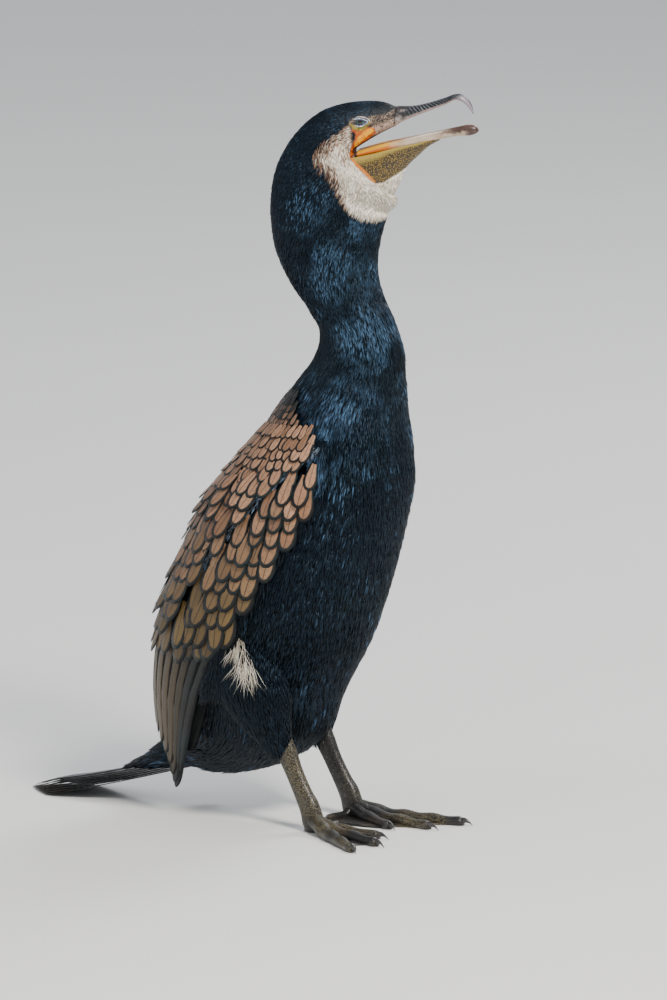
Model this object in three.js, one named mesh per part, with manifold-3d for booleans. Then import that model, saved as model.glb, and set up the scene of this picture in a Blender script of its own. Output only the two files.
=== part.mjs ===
// A great cormorant at life size, standing upright on flat webbed feet and propped on its tail.
// Millimetres, +Z up. The bird faces +X, with its left side towards +Y.
// The head, neck and trunk are one form, given by stations and parted with thin cuts.
import * as THREE from "three";
import { mergeVertices } from "three/addons/utils/BufferGeometryUtils.js";
import Module from "manifold-3d";

const wasm = await Module();
wasm.setup();

const GAP = 0.35; // space kept between touching pieces
const RIGHT = -1;
const LEFT = 1;
const RING_SIDES = 20; // sides of a section of the trunk
const PARTING = 0.012; // half the width of the cut between two lengths of the form, in stations
const ROUNDNESS = 0.94; // below 1 fills out the corners of an oval section

// Stations of the form from the bill's root, over the head, down the neck and trunk to the tail's root:
// x and z of its back, x and z of its front, and half its width.
const FORM = [
  [63, 586, 61.5, 569.2, 7.5],
  [50, 589.6, 48, 561.8, 12.5],
  [33, 589.2, 31.5, 551.2, 19],
  [19, 586.8, 30, 547.6, 21.4],
  [4, 581.5, 30.5, 545, 22.8],
  [-7, 574, 34.5, 539.5, 24],
  [-16, 565.5, 45, 528, 25],
  [-25, 554, 61.5, 512, 26.3],
  [-34, 537, 58, 501, 27],
  [-39, 517, 55, 491, 27.5],
  [-40.5, 492, 52, 479, 27.5],
  [-38, 465, 49.5, 463, 28],
  [-28, 440, 50, 447, 28.5],
  [-13, 420, 54.5, 431, 29.5],
  [-1, 402, 63, 413, 31],
  [-5, 382, 71, 391, 35],
  [-23, 357, 72, 366, 43],
  [-41, 331, 72, 341, 52],
  [-62, 303, 75, 314, 60],
  [-83, 269, 76, 280, 65],
  [-102, 226, 66, 238, 68],
  [-115, 184, 53, 196, 68],
  [-121, 142, 37, 154, 64],
  [-121, 105, 14, 111, 55],
  [-121, 84, -2, 75, 46],
  [-123, 74, -28, 52, 39],
  [-126, 69, -60, 38, 32],
  [-131, 66, -92, 31, 26],
  [-138, 62, -122, 31, 20],
];
const HEAD_END = 9; // station where the head ends and the neck begins
const NECK_END = 15;
const HEAD_STEPS = 13; // rings along each length of the form
const NECK_STEPS = 9;
const TRUNK_STEPS = 19;
const TAIL_ROOT = FORM.length - 1;

// The head is turned to the bird's left about a line through the neck.
const TURN = THREE.MathUtils.degToRad(25);
const TURN_AXIS_X = 30;
const TURN_FROM_Z = 400;
const TURN_TO_Z = 520;

// Stations of the outline over the folded wings, from the shoulders to the wing tips, in the same terms.
const WING_FORM = [
  [-43, 331, 72, 341, 55],
  [-66, 303, 75, 314, 67],
  [-94, 269, 76, 280, 77],
  [-118, 226, 66, 238, 81],
  [-137, 184, 53, 196, 81],
  [-149, 142, 37, 154, 76],
  [-154, 102, 14, 111, 67],
  [-151, 66, -12, 72, 57],
  [-144, 36, -45, 42, 49],
  [-138, 12, -70, 15, 44],
];

// Colours and finishes of the parts.
const finish = (color, roughness, metalness = 0) =>
  new THREE.MeshStandardMaterial({ color, roughness, metalness });
const PLUMAGE = finish(0x10181c, 0.5);
const BRONZE = finish(0x6b5138, 0.6);
const TAIL_BLACK = finish(0x0d1011, 0.6);
const HORN = finish(0x77706a, 0.4);
const POUCH = finish(0x8a6a1c, 0.6);
const SKIN_BLACK = finish(0x2a2c30, 0.55);
const IRIS = finish(0x1f6a68, 0.1);

const point = (x, y, z) => new THREE.Vector3(x, y, z);
const mix = THREE.MathUtils.lerp;
const smooth = THREE.MathUtils.smoothstep;
const radians = THREE.MathUtils.degToRad;

// Turns a point of the neck or head about the neck's line, more the higher it lies.
function turned(p) {
  const angle = TURN * smooth(p.z, TURN_FROM_Z, TURN_TO_Z);
  const out = p.x - TURN_AXIS_X;
  return point(
    TURN_AXIS_X + out * Math.cos(angle) - p.y * Math.sin(angle),
    out * Math.sin(angle) + p.y * Math.cos(angle),
    p.z,
  );
}

// A closed solid from shared points and triangles, with its faces turned outwards.
function solidOf(points, triangles) {
  const volume = triangles.reduce(
    (sum, [a, b, c]) => sum + points[a].dot(points[b].clone().cross(points[c])),
    0,
  );
  const facing = volume > 0 ? triangles : triangles.map(([a, b, c]) => [a, c, b]);
  return new wasm.Manifold(
    new wasm.Mesh({
      numProp: 3,
      vertProperties: new Float32Array(points.flatMap((p) => [p.x, p.y, p.z])),
      triVerts: new Uint32Array(facing.flat()),
    }),
  );
}

// A solid from one of three.js's own closed geometries, placed by a matrix.
function solidOfGeometry(geometry, matrix = new THREE.Matrix4()) {
  const bare = geometry.clone().applyMatrix4(matrix);
  bare.deleteAttribute("normal");
  bare.deleteAttribute("uv");
  const merged = mergeVertices(bare, 1e-4);
  const place = merged.getAttribute("position");
  const points = Array.from({ length: place.count }, (_, i) =>
    new THREE.Vector3().fromBufferAttribute(place, i),
  );
  const corners = merged.index.array;
  const triangles = [];
  for (let i = 0; i < corners.length; i += 3) {
    const [a, b, c] = [corners[i], corners[i + 1], corners[i + 2]];
    if (a !== b && b !== c && c !== a) triangles.push([a, b, c]);
  }
  return solidOf(points, triangles);
}

// A solid through closed rings of points, all with the same count.
function loft(rings) {
  const sides = rings[0].length;
  const last = (rings.length - 1) * sides;
  const triangles = [];
  for (let r = 0; r + 1 < rings.length; r++)
    for (let k = 0; k < sides; k++) {
      const [a, b] = [r * sides + k, r * sides + ((k + 1) % sides)];
      triangles.push([a, b, b + sides], [a, b + sides, a + sides]);
    }
  for (let k = 1; k + 1 < sides; k++)
    triangles.push([0, k + 1, k], [last, last + k, last + k + 1]);
  return solidOf(rings.flat(), triangles);
}

// A thin solid between two grids of points, split into triangles alike on both faces.
function plate(top, bottom) {
  const [rows, columns] = [top.length, top[0].length];
  const layer = rows * columns;
  const triangles = [];
  for (let i = 0; i + 1 < rows; i++)
    for (let j = 0; j + 1 < columns; j++) {
      const a = i * columns + j;
      const [b, c, d] = [a + columns, a + columns + 1, a + 1];
      triangles.push([a, b, c], [a, c, d]);
      triangles.push([layer + a, layer + c, layer + b], [layer + a, layer + d, layer + c]);
    }
  const rim = [];
  for (let j = 0; j + 1 < columns; j++) rim.push(j);
  for (let i = 0; i + 1 < rows; i++) rim.push(i * columns + columns - 1);
  for (let j = columns - 1; j > 0; j--) rim.push((rows - 1) * columns + j);
  for (let i = rows - 1; i > 0; i--) rim.push(i * columns);
  rim.forEach((a, n) => {
    const b = rim[(n + 1) % rim.length];
    triangles.push([a, b, layer + b], [a, layer + b, layer + a]);
  });
  return solidOf([...top.flat(), ...bottom.flat()], triangles);
}

const joined = (solids) => wasm.Manifold.union(solids);
const largest = (solid) =>
  solid.decompose().reduce((best, piece) => (piece.volume() > best.volume() ? piece : best));

// The same rings with the first and last moved outwards by grow, so that the caps keep the gap too.
function capsOut(rings, grow) {
  const centre = (ring) => ring.reduce((sum, p) => sum.add(p), point(0, 0, 0)).divideScalar(ring.length);
  const moved = (ring, next) => {
    const away = centre(ring).sub(centre(next)).setLength(grow);
    return ring.map((p) => p.clone().add(away));
  };
  const last = rings.length - 1;
  if (grow === 0) return rings;
  return [moved(rings[0], rings[1]), ...rings.slice(1, last), moved(rings[last], rings[last - 1])];
}

// A round tapering limb through places, each with its half sizes across and along the bird.
function limb(places, sides, grow = 0) {
  const rings =
    places.map(({ at, across, deep, lean = 0 }) =>
      Array.from({ length: sides }, (_, k) => {
        const angle = (2 * Math.PI * k) / sides;
        const front = (deep + grow) * Math.cos(angle);
        return point(
          at[0] + front * Math.cos(lean),
          at[1] + (across + grow) * Math.sin(angle),
          at[2] - front * Math.sin(lean),
        );
      }),
    );
  return loft(capsOut(rings, grow));
}

// Curves through the stations of a form: its back, its front and its half width.
function formOf(stations) {
  const curve = (pick) =>
    new THREE.CatmullRomCurve3(stations.map(pick), false, "catmullrom", 0.5);
  const backs = curve((s) => point(s[0], 0, s[1]));
  const fronts = curve((s) => point(s[2], 0, s[3]));
  const widths = curve((s, i) => point(i, 0, s[4]));
  return (station) => {
    const t = station / (stations.length - 1);
    const [back, front] = [backs.getPoint(t), fronts.getPoint(t)];
    const middle = back.clone().add(front).multiplyScalar(0.5);
    const deep = front.distanceTo(back) / 2;
    return { middle, deep, ahead: front.sub(back).normalize(), wide: widths.getPoint(t).z };
  };
}
const bodyAt = formOf(FORM);
const wingAt = formOf(WING_FORM);
const oval = (value) => Math.sign(value) * Math.abs(value) ** ROUNDNESS;

// A point of a section: 0 degrees is its back and 180 its front, and side is LEFT or RIGHT.
function onSection(section, degrees, side, grow = 0) {
  const angle = radians(degrees);
  const out = section.ahead.clone().multiplyScalar(-(section.deep + grow) * oval(Math.cos(angle)));
  const p = section.middle.clone().add(out);
  p.y = side * (section.wide + grow) * oval(Math.sin(angle));
  return p;
}

// The form between two stations, with its skin moved out by grow.
function body(from, to, steps, grow = 0) {
  const rings = [];
  for (let i = 0; i <= steps; i++) {
    const section = bodyAt(mix(from, to, i / steps));
    rings.push(
      Array.from({ length: RING_SIDES }, (_, k) =>
        turned(onSection(section, (360 * k) / RING_SIDES, LEFT, grow)),
      ),
    );
  }
  return loft(capsOut(rings, grow));
}

const bird = new THREE.Group();
function node(name, solid, material) {
  const mesh = largest(solid).getMesh();
  const geometry = new THREE.BufferGeometry()
    .setAttribute("position", new THREE.BufferAttribute(new Float32Array(mesh.vertProperties), 3))
    .setIndex(new THREE.BufferAttribute(new Uint32Array(mesh.triVerts), 1));
  const made = new THREE.Mesh(geometry, material);
  made.name = name;
  bird.add(made);
}
const sideName = (side) => (side === LEFT ? "left" : "right");

// Bill: a long upper half with a hooked nail, and a lower half, open as in the picture.
// Each station is x and z of its top, x and z of its underside, and half its width.
const UPPER_BILL = [
  [63.4, 586, 61.9, 569.2, 7.5],
  [78, 586.8, 77.8, 577, 5.6],
  [90, 589.8, 91, 582.6, 4.6],
  [102, 593.8, 104, 588.2, 4],
  [109, 596.6, 110.5, 591.6, 3.9],
  [115.5, 597, 114.6, 591, 3.6],
  [121, 593, 118.6, 588.6, 2.8],
  [124.2, 587.4, 121.8, 585.6, 1.8],
  [125.4, 581.4, 124.7, 581.2, 0.4],
];
const LOWER_BILL = [
  [30, 550, 31, 543, 12.5],
  [42, 554.2, 43.6, 546, 11],
  [54, 558, 56, 548.4, 9.4],
  [68, 561.4, 70.4, 551.8, 7.6],
  [84, 565.2, 86.2, 556.6, 5.8],
  [100, 568.6, 101.6, 561, 4.6],
  [112, 571.6, 113, 563.2, 4.2],
  [120, 573.4, 121, 563.6, 4.2],
  [126.6, 572, 126.8, 565.2, 3.4],
  [129.4, 569, 129.2, 567, 1.2],
];
const MOUTH_FLOOR = { share: 0.62, depth: 2.6, from: 1, to: 7 }; // hollow between the sides of the lower bill

function bill(stations, sides, grow = 0) {
  const at = formOf(stations);
  return loft(
    stations.map((_, i) => {
      const section = at(i);
      return Array.from({ length: sides }, (__, k) =>
        turned(onSection(section, (360 * k) / sides, LEFT, grow)),
      );
    }),
  );
}
function mouthFloor() {
  const { share, depth, from, to } = MOUTH_FLOOR;
  return loft(
    LOWER_BILL.slice(from, to + 1).map(([x, z, , , wide]) => {
      const half = wide * share;
      return [
        [x, -half, z + depth],
        [x, half, z + depth],
        [x, half * 0.7, z - depth],
        [x, -half * 0.7, z - depth],
      ].map((p) => turned(point(...p)));
    }),
  );
}

// The bare pouch between the lower bill and the throat: its top and its lowest line, and half its width.
const POUCH_FORM = [
  [99, 562, 98, 559.4, 2.6],
  [90, 560, 89, 554, 4.6],
  [80, 557, 81, 546.6, 6.4],
  [69, 555, 74, 540, 8.4],
  [57, 552, 69, 533, 10.6],
  [46, 549, 65, 526, 12.6],
  [36, 547, 58, 519, 14],
  [26, 545, 44, 515, 15],
];
const POUCH_SIDES = 10;
function pouch() {
  return loft(
    POUCH_FORM.map(([x, z, lowX, lowZ, wide]) =>
      Array.from({ length: POUCH_SIDES }, (_, k) => {
        const angle = (Math.PI * k) / (POUCH_SIDES - 1);
        const down = Math.sin(angle);
        return turned(point(mix(x, lowX, down), wide * Math.cos(angle), mix(z, lowZ, down)));
      }),
    ),
  );
}

// Eyes, each in a socket between lids that are fused to the head.
const EYE = { x: 36.4, z: 575, y: 14.2, radius: 6 };
const LID = { out: 2.9, radius: 6.3, thick: 1.3, tall: 0.56 };
function placed(x, y, z, scale = [1, 1, 1], tip = 0) {
  const centre = turned(point(x, y, z));
  const turn = new THREE.Quaternion().setFromEuler(new THREE.Euler(0, tip, TURN, "ZYX"));
  return new THREE.Matrix4().compose(centre, turn, point(...scale));
}
function eye(side, grow = 0) {
  const ball = new THREE.SphereGeometry(EYE.radius + grow, 14, 8);
  return solidOfGeometry(ball, placed(EYE.x, side * EYE.y, EYE.z));
}
function lids(side) {
  const ring = new THREE.TorusGeometry(LID.radius, LID.thick, 5, 14).rotateX(Math.PI / 2);
  return solidOfGeometry(
    ring,
    placed(EYE.x, side * (EYE.y + LID.out), EYE.z, [1, 1, LID.tall], radians(-10)),
  );
}

const bothSides = [RIGHT, LEFT];
const upperBill = bill(UPPER_BILL, 12);
const lowerBill = bill(LOWER_BILL, 12).subtract(mouthFloor());
const headSolid = joined([body(0, HEAD_END - PARTING, HEAD_STEPS), ...bothSides.map(lids)])
  .subtract(joined(bothSides.map((side) => eye(side, GAP))));
const headSpace = body(0, HEAD_END - PARTING, HEAD_STEPS, GAP);
node("head", headSolid.subtract(bill(UPPER_BILL, 12, GAP)), PLUMAGE);
node("bill_upper", upperBill.subtract(headSpace), HORN);
node("bill_lower", lowerBill.subtract(headSpace), HORN);
node("gular_pouch", pouch().subtract(headSpace).subtract(bill(LOWER_BILL, 12, GAP)), POUCH);
for (const side of bothSides) node(`eye_${sideName(side)}`, eye(side), IRIS);

node("neck", body(HEAD_END + PARTING, NECK_END - PARTING, NECK_STEPS), PLUMAGE);
const trunkSolid = body(NECK_END + PARTING, TAIL_ROOT, TRUNK_STEPS);
const trunkSpace = body(NECK_END + PARTING, TAIL_ROOT, TRUNK_STEPS, GAP);
node("torso", trunkSolid, PLUMAGE);

// Thighs: feathered down to the heel, set into the flank.
const THIGH = [
  { at: [-52, 40, 172], across: 14, deep: 24, lean: 0.1 },
  { at: [-48, 45, 146], across: 23, deep: 38, lean: 0.1 },
  { at: [-41, 46, 116], across: 24, deep: 38, lean: 0.05 },
  { at: [-33, 42, 90], across: 19, deep: 28, lean: 0 },
  { at: [-25, 36, 69], across: 12.5, deep: 17, lean: 0 },
  { at: [-20, 34, 58], across: 8.5, deep: 10.5, lean: -0.1 },
];
const LEG_SHIFT = { [RIGHT]: 0, [LEFT]: -10 }; // the left leg stands a little further back
const legPlaces = (places, side) =>
  places.map((p) => ({ ...p, at: [p.at[0] + LEG_SHIFT[side], side * p.at[1], p.at[2]] }));
const THIGH_SIDES = 14;
const SHANK_SIDES = 10;
const thigh = (side, grow = 0) => limb(legPlaces(THIGH, side), THIGH_SIDES, grow);

// Shanks: bare, flattened from side to side, from the heel to the toes' joint.
const SHANK = [
  { at: [-17, 33.5, 70], across: 5.9, deep: 8.2, lean: -0.45 },
  { at: [-13, 33.5, 60], across: 6.2, deep: 8.8, lean: -0.45 },
  { at: [-6, 34, 46], across: 5.6, deep: 7.8, lean: -0.45 },
  { at: [3, 34.6, 30], across: 5.8, deep: 8, lean: -0.45 },
  { at: [9, 35, 20], across: 6.8, deep: 9, lean: -0.6 },
];
const shank = (side, grow = 0) => limb(legPlaces(SHANK, side), SHANK_SIDES, grow);

for (const side of bothSides) {
  node(`thigh_${sideName(side)}`, thigh(side).subtract(trunkSpace), PLUMAGE);
  node(`shank_${sideName(side)}`, shank(side).subtract(thigh(side, GAP)), SKIN_BLACK);
}

// Feet: four toes joined by webs, each with a claw. Angles are outwards from straight ahead.
const FOOT_JOINT = [13, 35, 11.5];
const TOES = [
  { angle: 24, length: 96, claw: 10, root: 6.4, tip: 3.8 },
  { angle: 5, length: 82, claw: 12, root: 6.2, tip: 3.7 },
  { angle: -15, length: 62, claw: 11, root: 5.8, tip: 3.6 },
  { angle: -92, length: 27, claw: 7, root: 4.2, tip: 2.8 },
];
const FOOT_TURN = { [RIGHT]: 12, [LEFT]: -12 }; // degrees that each foot points outwards
const TOE_STEPS = 5;
const TOE_SIDES = 6;
const KNUCKLE = 0.35; // how much a toe swells at its joints
const SOLE = 0.62; // height of a toe's middle, as a share of its half thickness
const WEB = { thick: 1.6, scoop: 0.16, steps: 3 };
const CLAW = { drop: 0.55, steps: 3, sides: 5 };

const floorBlock = solidOfGeometry(
  new THREE.BoxGeometry(900, 900, 100),
  new THREE.Matrix4().makeTranslation(0, 0, -50),
);
function footFrame(side) {
  const [x, y] = FOOT_JOINT;
  const origin = point(x + LEG_SHIFT[side], side * y, 0);
  return (reach, degrees, z, aside = 0) => {
    const angle = side * radians(degrees + FOOT_TURN[side]);
    return point(
      origin.x + reach * Math.cos(angle) - aside * Math.sin(angle),
      origin.y + reach * Math.sin(angle) + aside * Math.cos(angle),
      z,
    );
  };
}
function toe(place, { angle, length, root, tip }) {
  const rings = [];
  for (let i = 0; i <= TOE_STEPS; i++) {
    const t = i / TOE_STEPS;
    const half = mix(root, tip, t) * (1 + KNUCKLE * (i % 2 ? 0 : 0.5));
    const middle = mix(FOOT_JOINT[2] * 0.8, half * SOLE, smooth(t, 0, 0.4));
    rings.push(
      Array.from({ length: TOE_SIDES }, (_, k) => {
        const turn = (2 * Math.PI * (k + 0.5)) / TOE_SIDES;
        return place(length * t, angle, middle + half * Math.sin(turn), half * Math.cos(turn));
      }),
    );
  }
  return loft(rings);
}
function claw(place, { angle, length, claw: reach, tip }) {
  const rings = [];
  for (let i = 0; i <= CLAW.steps; i++) {
    const t = i / CLAW.steps;
    const half = mix(tip * 0.82, 0.35, t);
    const middle = mix(tip * 0.9, half + 0.1, t ** 2) + 2.2 * Math.sin(Math.PI * t) * CLAW.drop;
    rings.push(
      Array.from({ length: CLAW.sides }, (_, k) => {
        const turn = (2 * Math.PI * k) / CLAW.sides;
        const along = length - 2 + reach * t;
        return place(along, angle, middle + half * Math.sin(turn), half * 0.7 * Math.cos(turn));
      }),
    );
  }
  return loft(rings);
}
function web(place, one, other) {
  const edge = [place(0, one.angle, 0)];
  for (let i = 0; i <= WEB.steps; i++) {
    const t = i / WEB.steps;
    const reach = mix(one.length, other.length, t) * 0.95;
    edge.push(place(reach * (1 - WEB.scoop * Math.sin(Math.PI * t)), mix(one.angle, other.angle, t), 0));
  }
  const shape = new THREE.Shape(edge.map((p) => new THREE.Vector2(p.x, p.y)));
  return solidOfGeometry(new THREE.ExtrudeGeometry(shape, { depth: WEB.thick, bevelEnabled: false }));
}
function foot(side) {
  const place = footFrame(side);
  const instep = limb(
    legPlaces(
      [
        { at: [9.3, 35, 19.6], across: 6.8, deep: 9, lean: -0.6 },
        { at: [12, 35, 12], across: 7.2, deep: 9.6, lean: -0.6 },
        { at: [14, 35, 4], across: 7.8, deep: 10.2, lean: 0 },
        { at: [14.5, 35, -1], across: 7.8, deep: 10.2, lean: 0 },
      ],
      side,
    ),
    SHANK_SIDES,
  );
  const pieces = [instep];
  for (const one of TOES) pieces.push(toe(place, one), claw(place, one));
  for (let i = 0; i + 1 < TOES.length; i++) pieces.push(web(place, TOES[i], TOES[i + 1]));
  return joined(pieces).subtract(floorBlock);
}
for (const side of bothSides)
  node(`foot_${sideName(side)}`, foot(side).subtract(shank(side, GAP)), SKIN_BLACK);

// A feather's vane, laid along a line of places on a surface: stiff, flat and rounded at its tip.
// place(t, aside, lift) gives a point t of the way along, aside in millimetres and lift above the surface.
const COVERT_SHAPE = [0.6, 0.98, 0.92, 0.42];
const FLIGHT_SHAPE = [0.62, 0.95, 1, 0.86, 0.36];
function vane(place, { width, shape, thick, rise, sink, roll }) {
  const last = shape.length - 1;
  const grid = (under) =>
    shape.map((share, i) => {
      const t = i / last;
      const lift = mix(-sink, rise, t) - (under ? thick : 0);
      const half = (share * width) / 2;
      return [place(t, -half, lift + share * roll), place(t, half, lift - share * roll)];
    });
  return plate(grid(false), grid(true));
}

// Folded wings: a core over the flank and back, covered with feathers in tiers.
// A place on a wing is a station of WING_FORM and an angle round it from the middle of the back.
const WING_LOW = [90, 113, 118, 106, 98, 95, 92, 84, 75, 62]; // angle of the lower edge at each station
const WING_HIGH = [40, 18, 6, 4, 4, 5, 12, 26, 40, 48]; // angle of the upper edge
const WING_DEPTH = [5, 14, 34, 38, 36, 26, 9, 4, 3, 2]; // thickness of the core, where the body leaves room
const listAt = (list, station) => {
  const i = Math.min(list.length - 2, Math.floor(station));
  return mix(list[i], list[i + 1], station - i);
};
const CORE_FROM = 0.4;
const CORE_TO = 6.3;
const CORE_STEPS = 9;
const CORE_COLUMNS = 7;
const CORE_BELOW = 1.6; // how far the core lies under the feathers' own surface

function onWing(station, degrees, side, lift) {
  return onSection(wingAt(station), degrees, side, lift);
}
function wingCore(side) {
  const grid = (under) => {
    const rows = [];
    for (let i = 0; i <= CORE_STEPS; i++) {
      const station = mix(CORE_FROM, CORE_TO, i / CORE_STEPS);
      const [high, low] = [listAt(WING_HIGH, station), listAt(WING_LOW, station)];
      rows.push(
        Array.from({ length: CORE_COLUMNS }, (_, j) => {
          const across = j / (CORE_COLUMNS - 1);
          const edge = Math.sin(Math.PI * across) ** 0.5;
          const below = under ? listAt(WING_DEPTH, station) * (0.35 + 0.65 * edge) : 2.2 * (1 - edge);
          return onWing(station, mix(high, low, across), side, -CORE_BELOW - below);
        }),
      );
    }
    return rows;
  };
  return plate(grid(false), grid(true));
}

// A tier of feathers: the station and angle of its first and last root, and the sizes of one feather.
// drift is the change of angle from a root to its tip.
const WING_TIERS = [
  { count: 4, from: [0.04, 42], to: [0.08, 93], length: 26, width: 22, drift: -2 },
  { count: 4, from: [0.36, 36], to: [0.48, 96], length: 32, width: 24, drift: -2 },
  { count: 5, from: [0.72, 26], to: [0.9, 102], length: 38, width: 27, drift: -3 },
  { count: 6, from: [1.25, 14], to: [1.4, 109], length: 40, width: 27, drift: -4 },
  { count: 7, from: [1.8, 8], to: [1.95, 113], length: 42, width: 27, drift: -4 },
  { count: 6, from: [2.4, 14], to: [2.5, 104], length: 44, width: 28, drift: -6 },
  { count: 7, from: [3.0, 8], to: [3.1, 98], length: 48, width: 27, drift: -7 },
  { count: 6, from: [3.6, 12], to: [3.7, 88], length: 54, width: 28, drift: -8 },
  { count: 5, from: [4.25, 11], to: [4.25, 72], length: 72, width: 27, drift: -8 },
];
const COVERT = { shape: COVERT_SHAPE, thick: 0.9, rise: 2.8, sink: 2, roll: 0.8 };
const FLIGHT = { shape: FLIGHT_SHAPE, thick: 0.9, sink: 2.4, roll: 0.5 };
// Flight feathers: root and tip, as stations and angles, innermost first.
const FLIGHTS = [
  { root: [4.9, 18], tip: [6.7, 16], width: 23, rise: 1.2 },
  { root: [4.8, 34], tip: [6.95, 30], width: 23, rise: 0.4 },
  { root: [4.7, 50], tip: [7.2, 42], width: 21, rise: -0.2 },
  { root: [4.6, 64], tip: [7.6, 51], width: 19, rise: -1 },
  { root: [4.5, 76], tip: [8.0, 57], width: 17, rise: -1.8 },
  { root: [4.4, 86], tip: [8.35, 60], width: 15, rise: -2.8 },
  { root: [4.4, 95], tip: [8.6, 63], width: 14, rise: -3.8 },
];
const MM_PER_DEGREE_STEP = 4; // degrees over which an angle's length on the surface is measured

function wingPlace(side, [rootStation, rootAngle], [tipStation, tipAngle]) {
  return (t, aside, lift) => {
    const station = mix(rootStation, tipStation, t);
    const angle = mix(rootAngle, tipAngle, t);
    const one = onWing(station, angle, side, lift);
    const next = onWing(station, angle + MM_PER_DEGREE_STEP, side, lift);
    return onWing(station, angle + (aside * MM_PER_DEGREE_STEP) / one.distanceTo(next), side, lift);
  };
}
// The station that lies a length further down the wing.
function further(station, angle, length) {
  const start = onWing(station, angle, LEFT, 0);
  let end = station;
  while (end < WING_FORM.length - 1 && onWing(end, angle, LEFT, 0).distanceTo(start) < length) end += 0.02;
  return end;
}
function wing(side) {
  const feathers = [];
  for (const { count, from, to, length, width, drift } of WING_TIERS)
    for (let i = 0; i < count; i++) {
      const root = [0, 1].map((axis) => mix(from[axis], to[axis], i / (count - 1)));
      const tip = [further(root[0], root[1], length), root[1] + drift];
      feathers.push(vane(wingPlace(side, root, tip), { ...COVERT, width }));
    }
  for (const { root, tip, width, rise } of FLIGHTS)
    feathers.push(vane(wingPlace(side, root, tip), { ...FLIGHT, width, rise }));
  return joined([wingCore(side), ...feathers]);
}
for (const side of bothSides) {
  const clear = [trunkSpace, thigh(side, GAP)];
  const halfSpace = solidOfGeometry(
    new THREE.BoxGeometry(600, 300, 700),
    new THREE.Matrix4().makeTranslation(0, -side * (150 - GAP / 2), 300),
  );
  const made = clear.reduce((solid, other) => solid.subtract(other), wing(side).subtract(halfSpace));
  node(`wing_${sideName(side)}`, made, BRONZE);
}

// Tail: stiff feathers in a closed fan, the middle pair longest and on top, laid down to the floor.
const TAIL = {
  pairs: 7,
  root: [-128, 33], // x of the roots, and the lowest height of the fan there
  length: 158,
  shorter: 4.4, // each pair is this much shorter than the next inner one
  spread: 1.75, // degrees between neighbours
  width: 21,
  thick: 0.95,
  step: 1.45, // height from one pair to the next inner one
  reach: 132, // length over which the fan comes down to the floor
  rootHeight: 33,
};
const TAIL_SHAPE = [0.34, 0.72, 0.95, 1, 1, 0.9, 0.42];
function tailFeather(side, pair) {
  const length = TAIL.length - TAIL.shorter * pair;
  const angle = side * radians(TAIL.spread * (pair + 0.35));
  const outer = TAIL.pairs - 1 - pair;
  const last = TAIL_SHAPE.length - 1;
  const grid = (under) =>
    TAIL_SHAPE.map((share, i) => {
      const along = (length * i) / last;
      const fall = TAIL.rootHeight * Math.max(0, 1 - along / TAIL.reach) ** 1.15;
      const shortest = TAIL.length - TAIL.shorter * (TAIL.pairs - 1);
      const above = THREE.MathUtils.clamp((length - along) / (length - shortest + 1e-3), 0, 1);
      const level = fall + TAIL.step * outer * (pair === TAIL.pairs - 1 ? 0 : above);
      const height = level + (side === LEFT ? TAIL.step * 0.5 : 0) * (pair === 0 ? 1 : 0);
      const half = (share * TAIL.width) / 2;
      return [-half, half].map((aside) =>
        point(
          TAIL.root[0] - along * Math.cos(angle) - aside * Math.sin(angle),
          along * Math.sin(angle) * 1 + aside * Math.cos(angle),
          height + (under ? 0 : TAIL.thick),
        ),
      );
    });
  return plate(grid(false), grid(true));
}
function tail() {
  const root = limb(
    [
      { at: [-121, 0, 48], across: 20, deep: 14, lean: Math.PI / 2 },
      { at: [-137.5, 0, 46.5], across: 20.5, deep: 15.5, lean: Math.PI / 2 },
      { at: [-150, 0, 43], across: 19, deep: 11.5, lean: Math.PI / 2 },
      { at: [-166, 0, 36], across: 16, deep: 8, lean: Math.PI / 2 },
      { at: [-184, 0, 28], across: 11, deep: 4.6, lean: Math.PI / 2 },
    ],
    14,
  );
  const feathers = [];
  for (let pair = 0; pair < TAIL.pairs; pair++)
    for (const side of bothSides) feathers.push(tailFeather(side, pair));
  return joined([root, ...feathers]);
}
node("tail", tail().subtract(floorBlock).subtract(trunkSpace), TAIL_BLACK);

// The frame's origin is on the floor, under the middle of the bird.
const box = new THREE.Box3().setFromObject(bird);
const middle = box.getCenter(new THREE.Vector3());
bird.position.set(-middle.x, -middle.y, -box.min.z);

export default bird;
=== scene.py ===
import math

import bpy
import numpy as np
from mathutils import Matrix, Vector


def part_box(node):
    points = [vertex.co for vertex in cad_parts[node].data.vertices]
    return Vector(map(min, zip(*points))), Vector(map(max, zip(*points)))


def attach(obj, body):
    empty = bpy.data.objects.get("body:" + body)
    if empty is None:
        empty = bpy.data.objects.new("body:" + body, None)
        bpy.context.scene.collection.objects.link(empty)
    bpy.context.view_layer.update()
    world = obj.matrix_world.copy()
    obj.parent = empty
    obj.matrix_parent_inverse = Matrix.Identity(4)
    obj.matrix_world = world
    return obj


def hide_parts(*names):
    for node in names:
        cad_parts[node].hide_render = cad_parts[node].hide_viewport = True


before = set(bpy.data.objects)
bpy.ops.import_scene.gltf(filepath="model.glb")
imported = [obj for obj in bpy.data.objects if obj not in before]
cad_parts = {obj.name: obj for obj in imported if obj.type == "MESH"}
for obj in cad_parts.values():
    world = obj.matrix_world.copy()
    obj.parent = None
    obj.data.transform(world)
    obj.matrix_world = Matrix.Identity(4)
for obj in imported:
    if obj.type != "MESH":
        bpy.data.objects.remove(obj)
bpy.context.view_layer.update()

# Place of the bird in the frame. The bird is drawn in millimetres from the spot on the floor between its
# feet, and the frame's origin is under the middle of its box. The right eye's place in the drawing is known,
# so that eye gives the shift. Sides are told by the sign of y.
MM = 0.001
RIGHT, LEFT = -1, 1
HEAD_TURN = math.radians(25)
TURN_AXIS_X, TURN_FROM_Z, TURN_TO_Z = 30, 400, 520
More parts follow.
